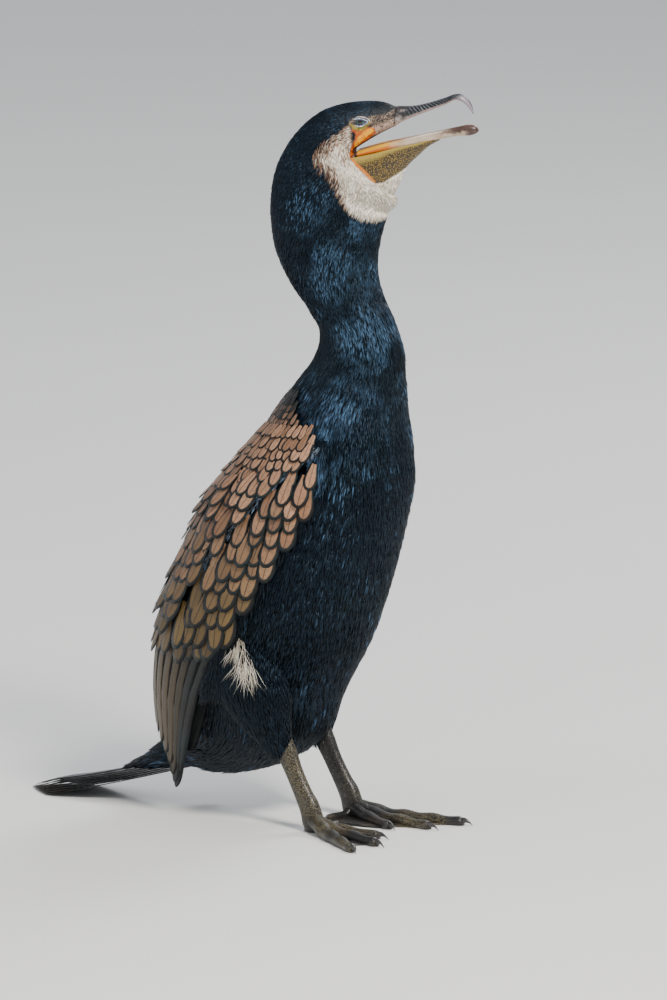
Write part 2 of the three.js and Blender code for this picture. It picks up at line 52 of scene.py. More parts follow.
EYE = {"x": 36.4, "y": 14.2, "z": 575}


def smooth(value, low, high):
    """0 below low and 1 above high, smooth between them."""
    share = np.clip((np.asarray(value, float) - low) / (high - low), 0, 1)
    return share * share * (3 - 2 * share)


def turned(points):
    """Drawing points of the neck or head, turned to the bird's left the more the higher they lie."""
    points = np.asarray(points, float)
    angle = HEAD_TURN * smooth(points[..., 2], TURN_FROM_Z, TURN_TO_Z)
    out = points[..., 0] - TURN_AXIS_X
    x = TURN_AXIS_X + out * np.cos(angle) - points[..., 1] * np.sin(angle)
    y = out * np.sin(angle) + points[..., 1] * np.cos(angle)
    return np.stack([x, y, points[..., 2]], axis=-1)


eye_low, eye_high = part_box("eye_right")
eye_drawn = turned([EYE["x"], RIGHT * EYE["y"], EYE["z"]])
SHIFT = np.array((eye_low + eye_high) / 2) - eye_drawn * MM


def in_frame(points):
    return np.asarray(points, float) * MM + SHIFT


# Camera, at the photograph's height and side: the bird turned three quarters to it, seen from slightly above.
CAMERA_AZIMUTH, CAMERA_HEIGHT = math.radians(35), math.radians(10)
CAMERA_AWAY = 20
VIEW_TALL = 0.8
SENSOR = 36
AIM = in_frame([5.6, 3.9, 263.1])

towards = Vector((
    math.sin(CAMERA_AZIMUTH) * math.cos(CAMERA_HEIGHT),
    -math.cos(CAMERA_AZIMUTH) * math.cos(CAMERA_HEIGHT),
    math.sin(CAMERA_HEIGHT),
))
camera_data = bpy.data.cameras.new("camera")
camera_data.sensor_width = SENSOR
camera_data.lens = SENSOR * CAMERA_AWAY / VIEW_TALL
camera_data.clip_end = 50
camera = bpy.data.objects.new("camera", camera_data)
camera.location = Vector(AIM) + towards * CAMERA_AWAY
camera.rotation_euler = towards.to_track_quat("Z", "Y").to_euler()
bpy.context.scene.collection.objects.link(camera)
bpy.context.scene.camera = camera


# Floor and light: a wide pale sheet, a soft key lamp from the front right, a weak fill from the front left,
# a rim lamp behind the bird, and a cool sky.
def by_node(operation, turned_round=False):
    """A method that does its maths with a node."""
    def method(self, other):
        pair = (other, self) if turned_round else (self, other)
        return self.finish.node("Math", {"operation": operation}, *pair)
    return method


class Value:
    """One socket of a material, so that sums and products of sockets are written as plain maths."""

    def __init__(self, finish, socket):
        self.finish, self.socket = finish, socket

    __add__, __radd__ = by_node("ADD"), by_node("ADD", True)
    __sub__, __rsub__ = by_node("SUBTRACT"), by_node("SUBTRACT", True)
    __mul__ = by_node("MULTIPLY")

    def __abs__(self):
        return self.finish.node("Math", {"operation": "ABSOLUTE"}, self)

    def sine(self):
        return self.finish.node("Math", {"operation": "SINE"}, self)

    def ease(self, low, high):
        """0 below low and 1 above high, smooth between them."""
        made = self.finish.nodes.new("ShaderNodeMapRange")
        made.interpolation_type = "SMOOTHSTEP"
        for socket, part in zip(made.inputs, (self, low, high, 0.0, 1.0)):
            self.finish.feed(socket, part)
        return Value(self.finish, made.outputs[0])

    def blend(self, one, other):
        """A colour between two, with this as its share from 0 to 1."""
        made = self.finish.nodes.new("ShaderNodeMix")
        made.data_type = "RGBA"
        colours = [s for s in made.inputs if s.type == "RGBA"]
        for socket, value in ((made.inputs[0], self), (colours[0], one), (colours[1], other)):
            self.finish.feed(socket, value)
        return Value(self.finish, [s for s in made.outputs if s.type == "RGBA"][0])


class Finish:
    """A material under construction. Its shader is the one Principled node that every finish here needs."""

    def __init__(self, name, **constants):
        self.material = bpy.data.materials.new(name)
        self.material.use_nodes = True
        self.nodes = self.material.node_tree.nodes
        self.links = self.material.node_tree.links
        self.shader = self.nodes["Principled BSDF"]
        self.set(**constants)

    def set(self, **inputs):
        """Sets the shader's sockets: base_color is the Base Color socket, and so on."""
        for name, value in inputs.items():
            self.feed(self.shader.inputs[name.replace("_", " ").title().replace("Ior", "IOR")], value)
        return self

    def feed(self, socket, value):
        if isinstance(value, Value):
            self.links.new(value.socket, socket)
        elif isinstance(value, tuple) and socket.type == "RGBA":
            socket.default_value = (*value[:3], 1)
        else:
            socket.default_value = value

    def node(self, kind, settings=None, *values, out=0, **named):
        """Adds a shader node and returns one of its outputs."""
        made = self.nodes.new("ShaderNode" + kind)
        for key, value in (settings or {}).items():
            setattr(made, key, value)
        for socket, value in zip(made.inputs, values):
            self.feed(socket, value)
        for name, value in named.items():
            self.feed(made.inputs[name.replace("_", " ").title()], value)
        return Value(self, made.outputs[out])

    def places(self):
        """The object's own places, in metres."""
        return self.node("TexCoord", {}, out=3)

    def stored(self, name):
        """A number that is stored on the mesh."""
        return self.node("Attribute", {"attribute_name": name}, out=2)

    def vane(self, axis):
        """How far across its feather, or with axis 1 along it, each place is, from 0 to 1."""
        return self.node("SeparateXYZ", {}, self.node("UVMap", {"uv_map": "vane"}), out=axis)

    def noise(self, scale, detail=3):
        return self.node("TexNoise", {}, Vector=self.places(), Scale=scale, Detail=detail)

    def bump(self, height, strength, distance):
        return self.set(normal=self.node("Bump", {}, Strength=strength, Distance=distance, Height=height))


def new_mesh(name, points, faces=()):
    mesh = bpy.data.meshes.new(name)
    mesh.from_pydata(points, [], faces)
    return mesh


def add_object(name, mesh, material=None):
    made = bpy.data.objects.new(name, mesh)
    if material:
        mesh.materials.append(material)
    mesh.polygons.foreach_set("use_smooth", [True] * len(mesh.polygons))
    bpy.context.scene.collection.objects.link(made)
    return made


paper = Finish("studio_paper", roughness=0.9)
paper.set(base_color=paper.noise(3).blend((0.80, 0.79, 0.77), (0.84, 0.83, 0.81)))

FLOOR_HALF, BIRD_MIDDLE = 14, 0.3
corners = [(x * FLOOR_HALF, y * FLOOR_HALF, 0) for x, y in ((-1, -1), (1, -1), (1, 1), (-1, 1))]
floor = add_object("floor", new_mesh("floor", corners, [(0, 1, 2, 3)]), paper.material)


def soft_light(name, place, size, power, colour):
    """A round lamp that faces the middle of the bird."""
    lamp = bpy.data.lights.new(name, "AREA")
    lamp.shape, lamp.size, lamp.energy, lamp.color = "DISK", size, power, colour
    holder = bpy.data.objects.new(name, lamp)
    holder.location = place
    holder.rotation_euler = (Vector(place) - Vector((0, 0, BIRD_MIDDLE))).to_track_quat("Z", "Y").to_euler()
    bpy.context.scene.collection.objects.link(holder)


soft_light("key", (2.4, -1.2, 2.6), 0.9, 150, (1.0, 0.96, 0.90))
soft_light("fill", (-1.6, -3.0, 1.6), 2.2, 26, (0.93, 0.96, 1.0))
soft_light("rim", (0.2, 2.6, 2.4), 1.4, 60, (0.95, 0.97, 1.0))
sky = bpy.data.worlds.new("sky")
sky.use_nodes = True
sky.node_tree.nodes["Background"].inputs["Color"].default_value = (0.86, 0.9, 0.96, 1)
sky.node_tree.nodes["Background"].inputs["Strength"].default_value = 0.62
bpy.context.scene.world = sky


# Skin of the head, neck, trunk and thighs: one surface a little under the coat, with the colours of the bare
# face. It runs through stations from the bill's root to the tail's, each of them x and z of its back, x and z
# of its front, and half its width.
FORM = [
    (63, 586, 61.5, 569.2, 7.5), (50, 589.6, 48, 561.8, 12.5), (33, 589.2, 31.5, 551.2, 19),
    (19, 586.8, 30, 547.6, 21.4), (4, 581.5, 30.5, 545, 22.8), (-7, 574, 34.5, 539.5, 24),
    (-16, 565.5, 45, 528, 25), (-25, 554, 61.5, 512, 26.3), (-34, 537, 58, 501, 27),
    (-39, 517, 55, 491, 27.5), (-40.5, 492, 52, 479, 27.5), (-38, 465, 49.5, 463, 28),
    (-28, 440, 50, 447, 28.5), (-13, 420, 54.5, 431, 29.5), (-1, 402, 63, 413, 31),
    (-5, 382, 71, 391, 35), (-23, 357, 72, 366, 43), (-41, 331, 72, 341, 52), (-62, 303, 75, 314, 60),
    (-83, 269, 76, 280, 65), (-102, 226, 66, 238, 68), (-115, 184, 53, 196, 68), (-121, 142, 37, 154, 64),
    (-121, 105, 14, 111, 55), (-121, 84, -2, 75, 46), (-123, 74, -28, 52, 39), (-126, 69, -60, 38, 32),
    (-131, 66, -92, 31, 26), (-138, 62, -122, 31, 20), (-153, 55, -143, 29, 19), (-169, 44, -164, 26, 15),
    (-187, 33, -185, 24, 9),
]
ROUNDNESS = 0.94
HEAD_END = 10.5  # the station that the markings of the head reach to
THIGH = [  # place, half size across and along the bird, and lean
    ((-52, 40, 172), 14, 24, 0.1), ((-48, 45, 146), 23, 38, 0.1), ((-41, 46, 116), 24, 38, 0.05),
    ((-33, 42, 90), 19, 28, 0), ((-25, 36, 69), 12.5, 17, 0), ((-20, 34, 58), 8.5, 10.5, -0.1),
]
LEG_SHIFT = {RIGHT: 0, LEFT: -10}  # the left leg stands a little further back


def spline(values, at):
    """Catmull-Rom values at places along a list of stations."""
    values = np.asarray(values, float)
    at = np.clip(np.asarray(at, float), 0, len(values) - 1)
    padded = np.concatenate([[2 * values[0] - values[1]], values, [2 * values[-1] - values[-2]]])
    i = np.clip(np.floor(at).astype(int), 0, len(values) - 2)
    w = (at - i)[..., None]
    before, start, end, after = (padded[i + n] for n in range(4))
    rise, fall = (end - before) / 2, (after - start) / 2
    square, cube = 3 * (end - start) - 2 * rise - fall, 2 * (start - end) + rise + fall
    return start + rise * w + square * w**2 + cube * w**3


def on_section(stations, station, degrees, lift=0):
    """Drawing points of a form: 0 degrees is its back, 90 its left side and 180 its front."""
    back_x, back_z, front_x, front_z, wide = np.moveaxis(spline(stations, station), -1, 0)
    angle = np.radians(degrees)
    deep = np.hypot(front_x - back_x, front_z - back_z) / 2
    oval = lambda value: np.sign(value) * np.abs(value) ** ROUNDNESS
    out = -(deep + lift) * oval(np.cos(angle))
    x = (back_x + front_x) / 2 + out * (front_x - back_x) / (2 * deep)
    z = (back_z + front_z) / 2 + out * (front_z - back_z) / (2 * deep)
    return np.stack([x, (wide + lift) * oval(np.sin(angle)), z], axis=-1)


def on_body(station, degrees, lift=0):
    return turned(on_section(FORM, station, degrees, lift))


def on_limb(table, side):
    """Gives places on a thigh or a shank: 0 degrees is its front and 90 its left side."""
    table = np.array([(*at, across, deep, lean) for at, across, deep, lean in table])

    def place(along, degrees, lift=0):
        x, y, z, across, deep, lean = np.moveaxis(spline(table, along), -1, 0)
        angle = np.radians(degrees)
        front = (deep + lift) * np.cos(angle)
        return np.stack([
            x + LEG_SHIFT[side] + front * np.cos(lean),
            side * y + (across + lift) * np.sin(angle),
            z - front * np.sin(lean),
        ], axis=-1)
    return place


def ring_grid(first, last, steps, sides):
    """Stations from first to last, and degrees round each of them."""
    return np.meshgrid(np.linspace(first, last, steps), np.arange(sides) * 360 / sides, indexing="ij")


def ringed(rings, name, uv=None):
    """A closed mesh through rings of frame points. Its ends are fans, and its faces are turned outwards."""
    rings = np.asarray(rings)
    rows, sides = rings.shape[:2]
    points = np.concatenate([rings.reshape(-1, 3), [rings[0].mean(0)], [rings[-1].mean(0)]])
    first, last = rows * sides, rows * sides + 1
    faces, marks = [], []
    for r in range(rows - 1):
        for k in range(sides):
            n = (k + 1) % sides
            faces.append((r * sides + k, r * sides + n, (r + 1) * sides + n, (r + 1) * sides + k))
            marks.append(((k, r), (k + 1, r), (k + 1, r + 1), (k, r + 1)))
    for k in range(sides):
        n = (k + 1) % sides
        faces.append((first, n, k))
        marks.append(((k + 0.5, -0.5), (k + 1, 0), (k, 0)))
        faces.append((last, (rows - 1) * sides + k, (rows - 1) * sides + n))
        marks.append(((k + 0.5, rows - 0.5), (k, rows - 1), (k + 1, rows - 1)))
    mesh = new_mesh(name, points, faces)
    if uv:
        low, high = uv
        layer = mesh.uv_layers.new(name="OFBake")
        flat = np.array([place for corners in marks for place in corners], float)
        flat = np.array(low) + (flat + (0, 0.5)) / (sides, rows) * (np.array(high) - low)
        layer.data.foreach_set("uv", flat.ravel())
    return outwards(mesh)


def outwards(mesh):
    """Turns every face of a closed mesh over where its volume comes out negative."""
    mesh.calc_loop_triangles()
    corners = np.empty(len(mesh.loop_triangles) * 3, int)
    mesh.loop_triangles.foreach_get("vertices", corners)
    places = np.empty(len(mesh.vertices) * 3)
    mesh.vertices.foreach_get("co", places)
    a, b, c = np.moveaxis((places.reshape(-1, 3))[corners].reshape(-1, 3, 3), 1, 0)
    if np.einsum("ij,ij->i", a, np.cross(b, c)).sum() < 0:
        mesh.flip_normals()
    return mesh


def mark(mesh, name, values):
    """Stores one number for each point of a mesh."""
    layer = mesh.attributes.new(name, "FLOAT", "POINT")
    layer.data.foreach_set("value", values.astype(np.float32).ravel())


def mark_rings(mesh, name, values):
    """Stores one number for each place of a mesh made by ringed."""
    mark(mesh, name, np.concatenate([values.ravel(), [values[0].mean(), values[-1].mean()]]))


def joined(pieces):
    """Joins pieces into the first of them."""
    with bpy.context.temp_override(active_object=pieces[0], selected_editable_objects=pieces):
        bpy.ops.object.join()
    return pieces[0]


# Markings, drawn on the side view of the head: outlines of the white throat and of the bare face's colours.
THROAT_PATCH = [
    (29, 573), (21.4, 568), (14, 563), (6, 558), (0.5, 551.5), (-1.5, 544), (3, 537.5), (9, 533.5),
    (14, 527), (19, 519.5), (23.5, 511.5), (31.5, 504.5), (41, 499), (52, 497.5), (66, 500), (84, 520),
    (66, 530), (50, 527), (38, 536), (30, 545),
]
BARE_FACE = [
    (27.5, 576), (29.5, 578), (34.6, 578.8), (41.4, 579.2), (47, 580.3), (54, 581.4), (58, 582.2),
    (64, 586), (72, 584), (72, 562), (58, 562), (47, 556), (31, 546), (28.6, 544), (27.6, 548.5),
    (28.6, 553), (31.2, 559.3), (32.6, 565), (29.4, 568.6), (27.6, 572),
]
YELLOW_STRIPE = [
    (46, 570), (40.4, 568), (35.4, 563), (32.8, 559), (30.8, 553.8), (29.6, 549), (30.4, 548.5), (32.4, 553),
    (37, 558.5), (41.6, 562.8), (46.4, 566.4),
]
ORANGE_EDGE = [
    (47, 569.5), (42, 570.5), (36, 567.6), (31, 569.6), (29, 568.4), (33, 564.8), (31.6, 559.3), (28.8, 553),
    (27.8, 547.5), (28.8, 545), (31.5, 549.5), (36.5, 555.6), (42.5, 560.5), (48, 565),
]
OLIVE_LID = [
    (28.4, 575), (28.7, 572.4), (31, 569), (35, 567.4), (39.4, 568.2), (42.4, 571), (44.4, 574.6),
    (39, 572.4), (35.3, 571.6), (31.5, 572.4),
]
PALE_BAND = [
    (44, 569.8), (50, 572), (60, 576), (70, 580), (70, 560), (60, 562), (50, 558), (44, 565),
]


def inside(outline, x, z, soft):
    """1 inside an outline and 0 outside, over a soft edge in millimetres."""
    outline = np.asarray(outline, float)
    place = np.stack([x, z], axis=-1)[..., None, :]
    start, end = outline, np.roll(outline, -1, axis=0)
    along = end - start
    share = np.clip(((place - start) * along).sum(-1) / (along**2).sum(-1), 0, 1)
    near = np.linalg.norm(place - start - share[..., None] * along, axis=-1).min(-1)
    height = place[..., 1]
    crosses = (start[:, 1] > height) != (end[:, 1] > height)
    rise = np.where(along[:, 1] == 0, 1e-9, along[:, 1])
    left_of = place[..., 0] < start[:, 0] + (height - start[:, 1]) * along[:, 0] / rise
    within = (crosses & left_of).sum(-1) % 2 == 1
    return smooth(np.where(within, near, -near), -soft, soft)


FACE_MARKS = {
    "bare": BARE_FACE, "yellow": YELLOW_STRIPE, "orange": ORANGE_EDGE, "olive": OLIVE_LID, "band": PALE_BAND,
}
MOUTH_TURNS, MOUTH_END = (148, 156), (3.1, 3.7)  # degrees from the back and stations where its lining fades


def degrees_from(middle, degrees):
    """How far round a form a place is from a middle, between 0 and 180."""
    return np.abs((np.asarray(degrees) - middle + 180) % 360 - 180)


def face_shares(station, degrees):
    """How much of the white throat, its brown margin, the mouth lining and each face colour a place has."""
    station = np.asarray(station, float)
    x, _, z = np.moveaxis(on_section(FORM, station, degrees), -1, 0)
    head = station < HEAD_END
    shares = {name: inside(outline, x, z, 0.5) * head for name, outline in FACE_MARKS.items()}
    lining = smooth(degrees_from(0, degrees), *MOUTH_TURNS)
    shares["mouth"] = lining * smooth(-station, -MOUTH_END[1], -MOUTH_END[0])
    shares["bare"] = np.maximum(shares["bare"], shares["mouth"])
    white = inside(THROAT_PATCH, x, z, 1.6) * head
    shares["white"] = white * (1 - shares["bare"])
    shares["margin"] = white * np.clip(2 - 2 * inside(THROAT_PATCH, x, z, 20.0), 0, 1) * smooth(-x, -38, -16)
    return shares


SKIN_SIDES, SKIN_STEPS, FACE_END = 200, 190, 7  # rows are closer together on the face
SKIN_ROWS = np.concatenate([
    np.linspace(0, FACE_END, SKIN_STEPS, endpoint=False), np.linspace(FACE_END, len(FORM) - 1, SKIN_STEPS),
])
COAT_DEPTH = [[depth] for depth in (0.5, 0.6, 0.8, 1.2, 1.8, 2.4, 2.6, 2.6)]
COAT_STEP = 2.4  # stations from one depth of the coat to the next
BODY_UV = ((0.02, 0.02), (0.98, 0.8))
THIGH_UV = (0.82, 0.98)
HALF_UV, HALF_WIDE = {RIGHT: 0.02, LEFT: 0.52}, 0.46  # where each of two sides is baked, and how wide


def coat_depth(station):
    return spline(COAT_DEPTH, np.asarray(station, float) / COAT_STEP)[..., 0]


grid_rows, grid_turns = np.meshgrid(SKIN_ROWS, np.arange(SKIN_SIDES) * 360 / SKIN_SIDES, indexing="ij")
body_mesh = ringed(
    in_frame(on_body(grid_rows, grid_turns, -coat_depth(grid_rows))), "body_skin", uv=BODY_UV,
)
for name, values in face_shares(grid_rows, grid_turns).items():
    mark_rings(body_mesh, name, values)

skin = Finish("plumage_skin", roughness=0.55, specular_ior_level=0.4)
cells = skin.node("TexVoronoi", {}, Vector=skin.places(), Scale=1050.0)
fold = skin.noise(300.0, 4).ease(0.35, 0.65)
fleck = (cells + fold * 0.15).ease(0.50, 0.78)
lore = fleck.blend((0.008, 0.006, 0.006), (0.20, 0.14, 0.10))
band = (cells + fold * 0.3).ease(0.66, 0.92).blend((0.40, 0.28, 0.21), (0.05, 0.025, 0.016))
face = skin.stored("band").blend(lore, band)
face = skin.stored("orange").blend(face, fold.blend((0.30, 0.040, 0.001), (0.58, 0.12, 0.001)))
face = skin.stored("olive").blend(face, fold.blend((0.10, 0.075, 0.008), (0.34, 0.25, 0.03)))
face = skin.stored("yellow").blend(face, fold.blend((0.70, 0.22, 0.001), (0.92, 0.44, 0.001)))
lining = fold.blend((0.030, 0.006, 0.004), (0.13, 0.035, 0.02))
face = skin.stored("mouth").ease(0.3, 0.7).blend(face, lining)
black = skin.noise(40.0).blend((0.003, 0.004, 0.005), (0.006, 0.009, 0.012))
white = skin.noise(300.0).blend((0.34, 0.28, 0.20), (0.62, 0.56, 0.46))
coat = skin.stored("white").blend(black, white)
skin.set(base_color=skin.stored("bare").ease(0.35, 0.65).blend(coat, face))
skin.bump(fleck * 0.5 + fold * 0.5, 0.5, 0.0004)

pieces = [add_object("body_skin", body_mesh, skin.material)]
for side in (RIGHT, LEFT):
    along, turn = ring_grid(0, len(THIGH) - 1, 40, 48)
    island = (HALF_UV[side], THIGH_UV[0]), (HALF_UV[side] + HALF_WIDE, THIGH_UV[1])
    thigh = ringed(in_frame(on_limb(THIGH, side)(along, turn, -1.8)), "thigh_skin", uv=island)
    pieces.append(add_object("thigh_skin", thigh, skin.material))
body_skin = joined(pieces)
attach(body_skin, "root")
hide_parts("head", "neck", "torso", "thigh_right", "thigh_left")


# Body feathers: fine plumes, a few millimetres long on the head and longer towards the rump. Each grows from
# the skin, lies back along the body and overlaps the next. They are glossy black with a blue and green sheen,
# partly from their bluish gloss and partly painted into their colour, with painted blue-white glints, and on
# the throat white with a brown margin.
def sides_of(rings):
    """Points and triangles of a closed lock through rings of three points and a tip."""
    points = [p for ring in rings[:-1] for p in ring] + [rings[-1]]
    tip = len(points) - 1
    faces = [(0, 2, 1)]
    for r in range(len(rings) - 2):
        for k in range(3):
            a, b = 3 * r + k, 3 * r + (k + 1) % 3
            faces += [(a, b, b + 3), (a, b + 3, a + 3)]
    for k in range(3):
        faces.append((tip - 3 + k, tip - 3 + (k + 1) % 3, tip))
    return points, faces


def lay_uv(mesh, name, flat):
    """Gives a mesh a UV layer with one place for each of its points."""
    corners = np.empty(len(mesh.loops), int)
    mesh.loops.foreach_get("vertex_index", corners)
    mesh.uv_layers.new(name=name).data.foreach_set("uv", flat[corners].ravel())


def feather_form(name, shape, camber, droop):
    """One feather of unit length and width: shape gives its half width, from root to tip."""
    rings = []
    for i, half in enumerate(shape):
        y = i / len(shape)
        sag = -droop * y * y
        rings.append([(-half, y, sag - camber), (half, y, sag - camber), (0, y, sag + camber)])
    points, faces = sides_of([*rings, (0, 1, -droop)])
    mesh = new_mesh(name, points, faces)
    lay_uv(mesh, "vane", np.array(points)[:, :2] + (0.5, 0))
    return add_object(name, outwards(mesh))


PLANTING_GETS = {"Form": "Object", "Finish": "Material", "Patch": "Float", "Spread": "Float", "Seed": "Int"}


def planting_tree():
    """Grows a form on every point of a bed, turned and sized by the point and baked near its root."""
    tree = bpy.data.node_groups.new("planting", "GeometryNodeTree")
    face_in, face_out = tree.interface, tree.nodes.new("NodeGroupOutput")
    face_in.new_socket("Bed", in_out="INPUT", socket_type="NodeSocketGeometry")
    for name, kind in PLANTING_GETS.items():
        face_in.new_socket(name, in_out="INPUT", socket_type="NodeSocket" + kind)
    face_in.new_socket("Coat", in_out="OUTPUT", socket_type="NodeSocketGeometry")
    given = tree.nodes.new("NodeGroupInput")

    def node(kind, settings=None, **sockets):
        made = tree.nodes.new(kind)
        for key, value in (settings or {}).items():
            setattr(made, key, value)
        for name, value in sockets.items():
            socket = made.inputs[int(name[1:]) if name[1:].isdigit() else name.replace("_", " ")]
            if isinstance(value, bpy.types.NodeSocket):
                tree.links.new(value, socket)
            else:
                socket.default_value = value
        return made

    def stored(name):
        return node("GeometryNodeInputNamedAttribute", {"data_type": "FLOAT_VECTOR"}, Name=name).outputs[0]

    def maths(operation, one, other):
        return node("ShaderNodeVectorMath", {"operation": operation}, _0=one, _1=other).outputs[0]

    def scaled(one, share):
        return node("ShaderNodeVectorMath", {"operation": "SCALE"}, _0=one, _3=share).outputs[0]

    least, most = (
        node("ShaderNodeMath", {"operation": operation}, _0=1.0, _1=given.outputs["Spread"]).outputs[0]
        for operation in ("SUBTRACT", "ADD")
    )
    vary = node(
        "FunctionNodeRandomValue", {"data_type": "FLOAT"}, _2=least, _3=most, Seed=given.outputs["Seed"],
    )
    turn = node("FunctionNodeEulerToRotation", Euler=stored("turn"))
    form = node("GeometryNodeObjectInfo", Object=given.outputs["Form"], As_Instance=True)
    grown = node(
        "GeometryNodeInstanceOnPoints",
        Points=given.outputs["Bed"],
        Instance=form.outputs["Geometry"],
        Rotation=turn.outputs[0],
        Scale=scaled(stored("size"), vary.outputs[1]),
    )
    real = node("GeometryNodeRealizeInstances", Geometry=grown.outputs[0])
    middle = maths("SUBTRACT", stored("vane"), (0.5, 0.5, 0.0))
    patch = maths("ADD", stored("root"), scaled(middle, given.outputs["Patch"]))
    baked = node(
        "GeometryNodeStoreNamedAttribute", {"data_type": "FLOAT2", "domain": "CORNER"},
        Geometry=real.outputs[0], Name="OFBake", Value=patch,
    )
    done = node("GeometryNodeSetMaterial", Geometry=baked.outputs[0], Material=given.outputs["Finish"])
    tree.links.new(done.outputs[0], face_out.inputs[0])
    return tree


PLANTING = planting_tree()


def plant(name, bed, form, material, patch=0.003, spread=0.12, seed=1):
    """Runs the planting tree on a bed of points and keeps the result as a plain mesh."""
    mesh = new_mesh(name + "_bed", in_frame(bed["place"]))
    for key, values in bed.items():
        if key == "place":
            continue
        vector = values.ndim == 2
        layer = mesh.attributes.new(key, "FLOAT_VECTOR" if vector else "FLOAT", "POINT")
        layer.data.foreach_set("vector" if vector else "value", values.astype(np.float32).ravel())
    holder = add_object(name, mesh)
    growth = holder.modifiers.new("growth", "NODES")
    growth.node_group = PLANTING
    inputs = {i.name: i.identifier for i in PLANTING.interface.items_tree if i.in_out == "INPUT"}
    for key, value in zip(PLANTING_GETS, (form, material, patch, spread, seed)):
        growth[inputs[key]] = value
    graph = bpy.context.evaluated_depsgraph_get()
    grown = bpy.data.meshes.new_from_object(
        holder.evaluated_get(graph), preserve_all_data_layers=True, depsgraph=graph,
    )
    holder.modifiers.remove(growth)
    holder.data = grown
    for spare in ("turn", "size", "root"):
        if grown.attributes.get(spare):
            grown.attributes.remove(grown.attributes[spare])
    grown.polygons.foreach_set("use_smooth", [True] * len(grown.polygons))
    return holder


def unit(vectors):
    return vectors / np.maximum(np.linalg.norm(vectors, axis=-1, keepdims=True), 1e-9)


def lying(place, along, degrees, swing, tip_up, lift=0):
    """Places and turns of feathers on a form: swing turns each sideways and tip_up raises its end."""
    step = 0.02
    here = place(along, degrees, lift)
    down = unit(place(along + step, degrees, lift) - place(along - step, degrees, lift))
    across = unit(place(along, degrees + 1, lift) - place(along, degrees - 1, lift))
    up = unit(np.cross(across, down))
    inwards = (place(along, degrees, lift + 1) - here) * up
    up = up * np.sign(inwards.sum(-1, keepdims=True))
    swing, tip_up = np.radians(swing)[..., None], np.radians(tip_up)[..., None]
    ahead = unit(down * np.cos(swing) + across * np.sin(swing))
    ahead, up = ahead * np.cos(tip_up) + up * np.sin(tip_up), up * np.cos(tip_up) - ahead * np.sin(tip_up)
    side = unit(np.cross(ahead, up))
    turn = np.stack([
        np.arctan2(ahead[:, 2], up[:, 2]),
        -np.arcsin(np.clip(side[:, 2], -1, 1)),
        np.arctan2(side[:, 1], side[:, 0]),
    ], axis=-1)
    return here, turn


def reaches(line):
    """Length along a line of points from its start to each of them."""
    return np.concatenate([[0], np.cumsum(np.linalg.norm(np.diff(line, axis=0), axis=-1))])


def scatter(place, spans, spacing, rng, jitter=0.35):
    """Stations and angles over a form in staggered rows, spacing millimetres apart."""
    low, high = spans
    fine = np.linspace(low, high, 600)
    length = reaches(place(fine, np.full_like(fine, 90.0)))
    found = []
    reach, row = 0.0, 0
    while reach < length[-1]:
        station = np.interp(reach, length, fine)
        gap = spacing(station)
        ring = place(np.full(73, station), np.linspace(0, 360, 73))
        count = max(6, int(np.linalg.norm(np.diff(ring, axis=0), axis=-1).sum() / gap))
        angles = (np.arange(count) + (row % 2) / 2 + rng.uniform(-jitter, jitter, count)) * 360 / count
        stations = np.interp(reach + rng.uniform(-jitter, jitter, count) * gap, length, fine)
        found.append(np.stack([stations, angles % 360], axis=-1))
        reach += gap
        row += 1
    return np.concatenate(found).T


def body_root(station, degrees):
    """Where the skin is baked at each place, so that a feather is baked near it."""
    low, high = np.array(BODY_UV[0]), np.array(BODY_UV[1])
    row = np.interp(station, SKIN_ROWS, np.arange(len(SKIN_ROWS)))
    flat = np.stack([degrees / 360, (row + 0.5) / len(SKIN_ROWS)], axis=-1)
    return np.concatenate([low + flat * (high - low), np.zeros((len(flat), 1))], axis=-1)


plumes = Finish("body_plumage", roughness=0.40, specular_ior_level=0.5, specular_tint=(0.32, 0.49, 0.72))
tone, white_part, painted_glint = plumes.stored("tone"), plumes.stored("white"), plumes.stored("painted_glint")
along = plumes.vane(1)
# Painted sheen: the ends of the plumes are painted blue-green over the black, in patches, and duller low on
# the body.
cloud = plumes.noise(14.0, 2).ease(0.40, 0.62)
painted_highlight_patches = plumes.noise(30.0, 4).ease(0.42, 0.62)
dark = cloud.blend((0.0010, 0.0020, 0.0034), (0.0010, 0.0024, 0.0024))
painted_sheen = cloud.blend((0.004, 0.012, 0.026), (0.003, 0.011, 0.012))
high_up = plumes.node("SeparateXYZ", {}, plumes.places(), out=2)
painted_sheen = high_up.ease(0.12, 0.34).blend((0.004, 0.0075, 0.0065), painted_sheen)
coat = (along.ease(0.35, 1.0) * tone.ease(0.2, 1.0)).blend(dark, painted_sheen)
# Painted highlights: blue-white glints painted on the ends of the plumes that the bed marks, in patches.
coat = (along.ease(0.3, 0.85) * painted_glint * painted_highlight_patches).blend(coat, (0.13, 0.25, 0.42))
pale = tone.blend((0.60, 0.51, 0.38), (0.95, 0.90, 0.79))
edge = tone.blend((0.045, 0.022, 0.012), (0.36, 0.20, 0.11))
throat = white_part.ease(0.35, 0.8).blend(edge, pale)
plumes.set(base_color=white_part.ease(0.12, 0.3).blend(coat, throat))

PLUME = feather_form("plume", (0.40, 0.50), 0.12, 0.05)


def feather_bed(place, stations, angles, size, root, rng, tip_up, sink, swing=0, white=None):
    """A bed of points: size gives each feather's width, length and thickness in millimetres."""
    here, turn = lying(
        place, stations, angles,
        swing + rng.normal(0, 4, len(stations)), tip_up + rng.normal(0, 2, len(stations)), -sink,
    )
    return {
        "place": here, "turn": turn, "size": size * MM, "root": root,
        "tone": rng.uniform(0, 1, len(stations)),
        "white": np.zeros(len(stations)) if white is None else white,
        "painted_glint": np.zeros(len(stations)),
    }


def together(beds):
    return {key: np.concatenate([bed[key] for bed in beds]) for key in beds[0]}


def plant_coat(name, bed, seed):
    """Plants a bed with plumes, as one piece of the plumage."""
    piece = plant(name, bed, PLUME, plumes.material, seed=seed)
    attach(piece, "root")


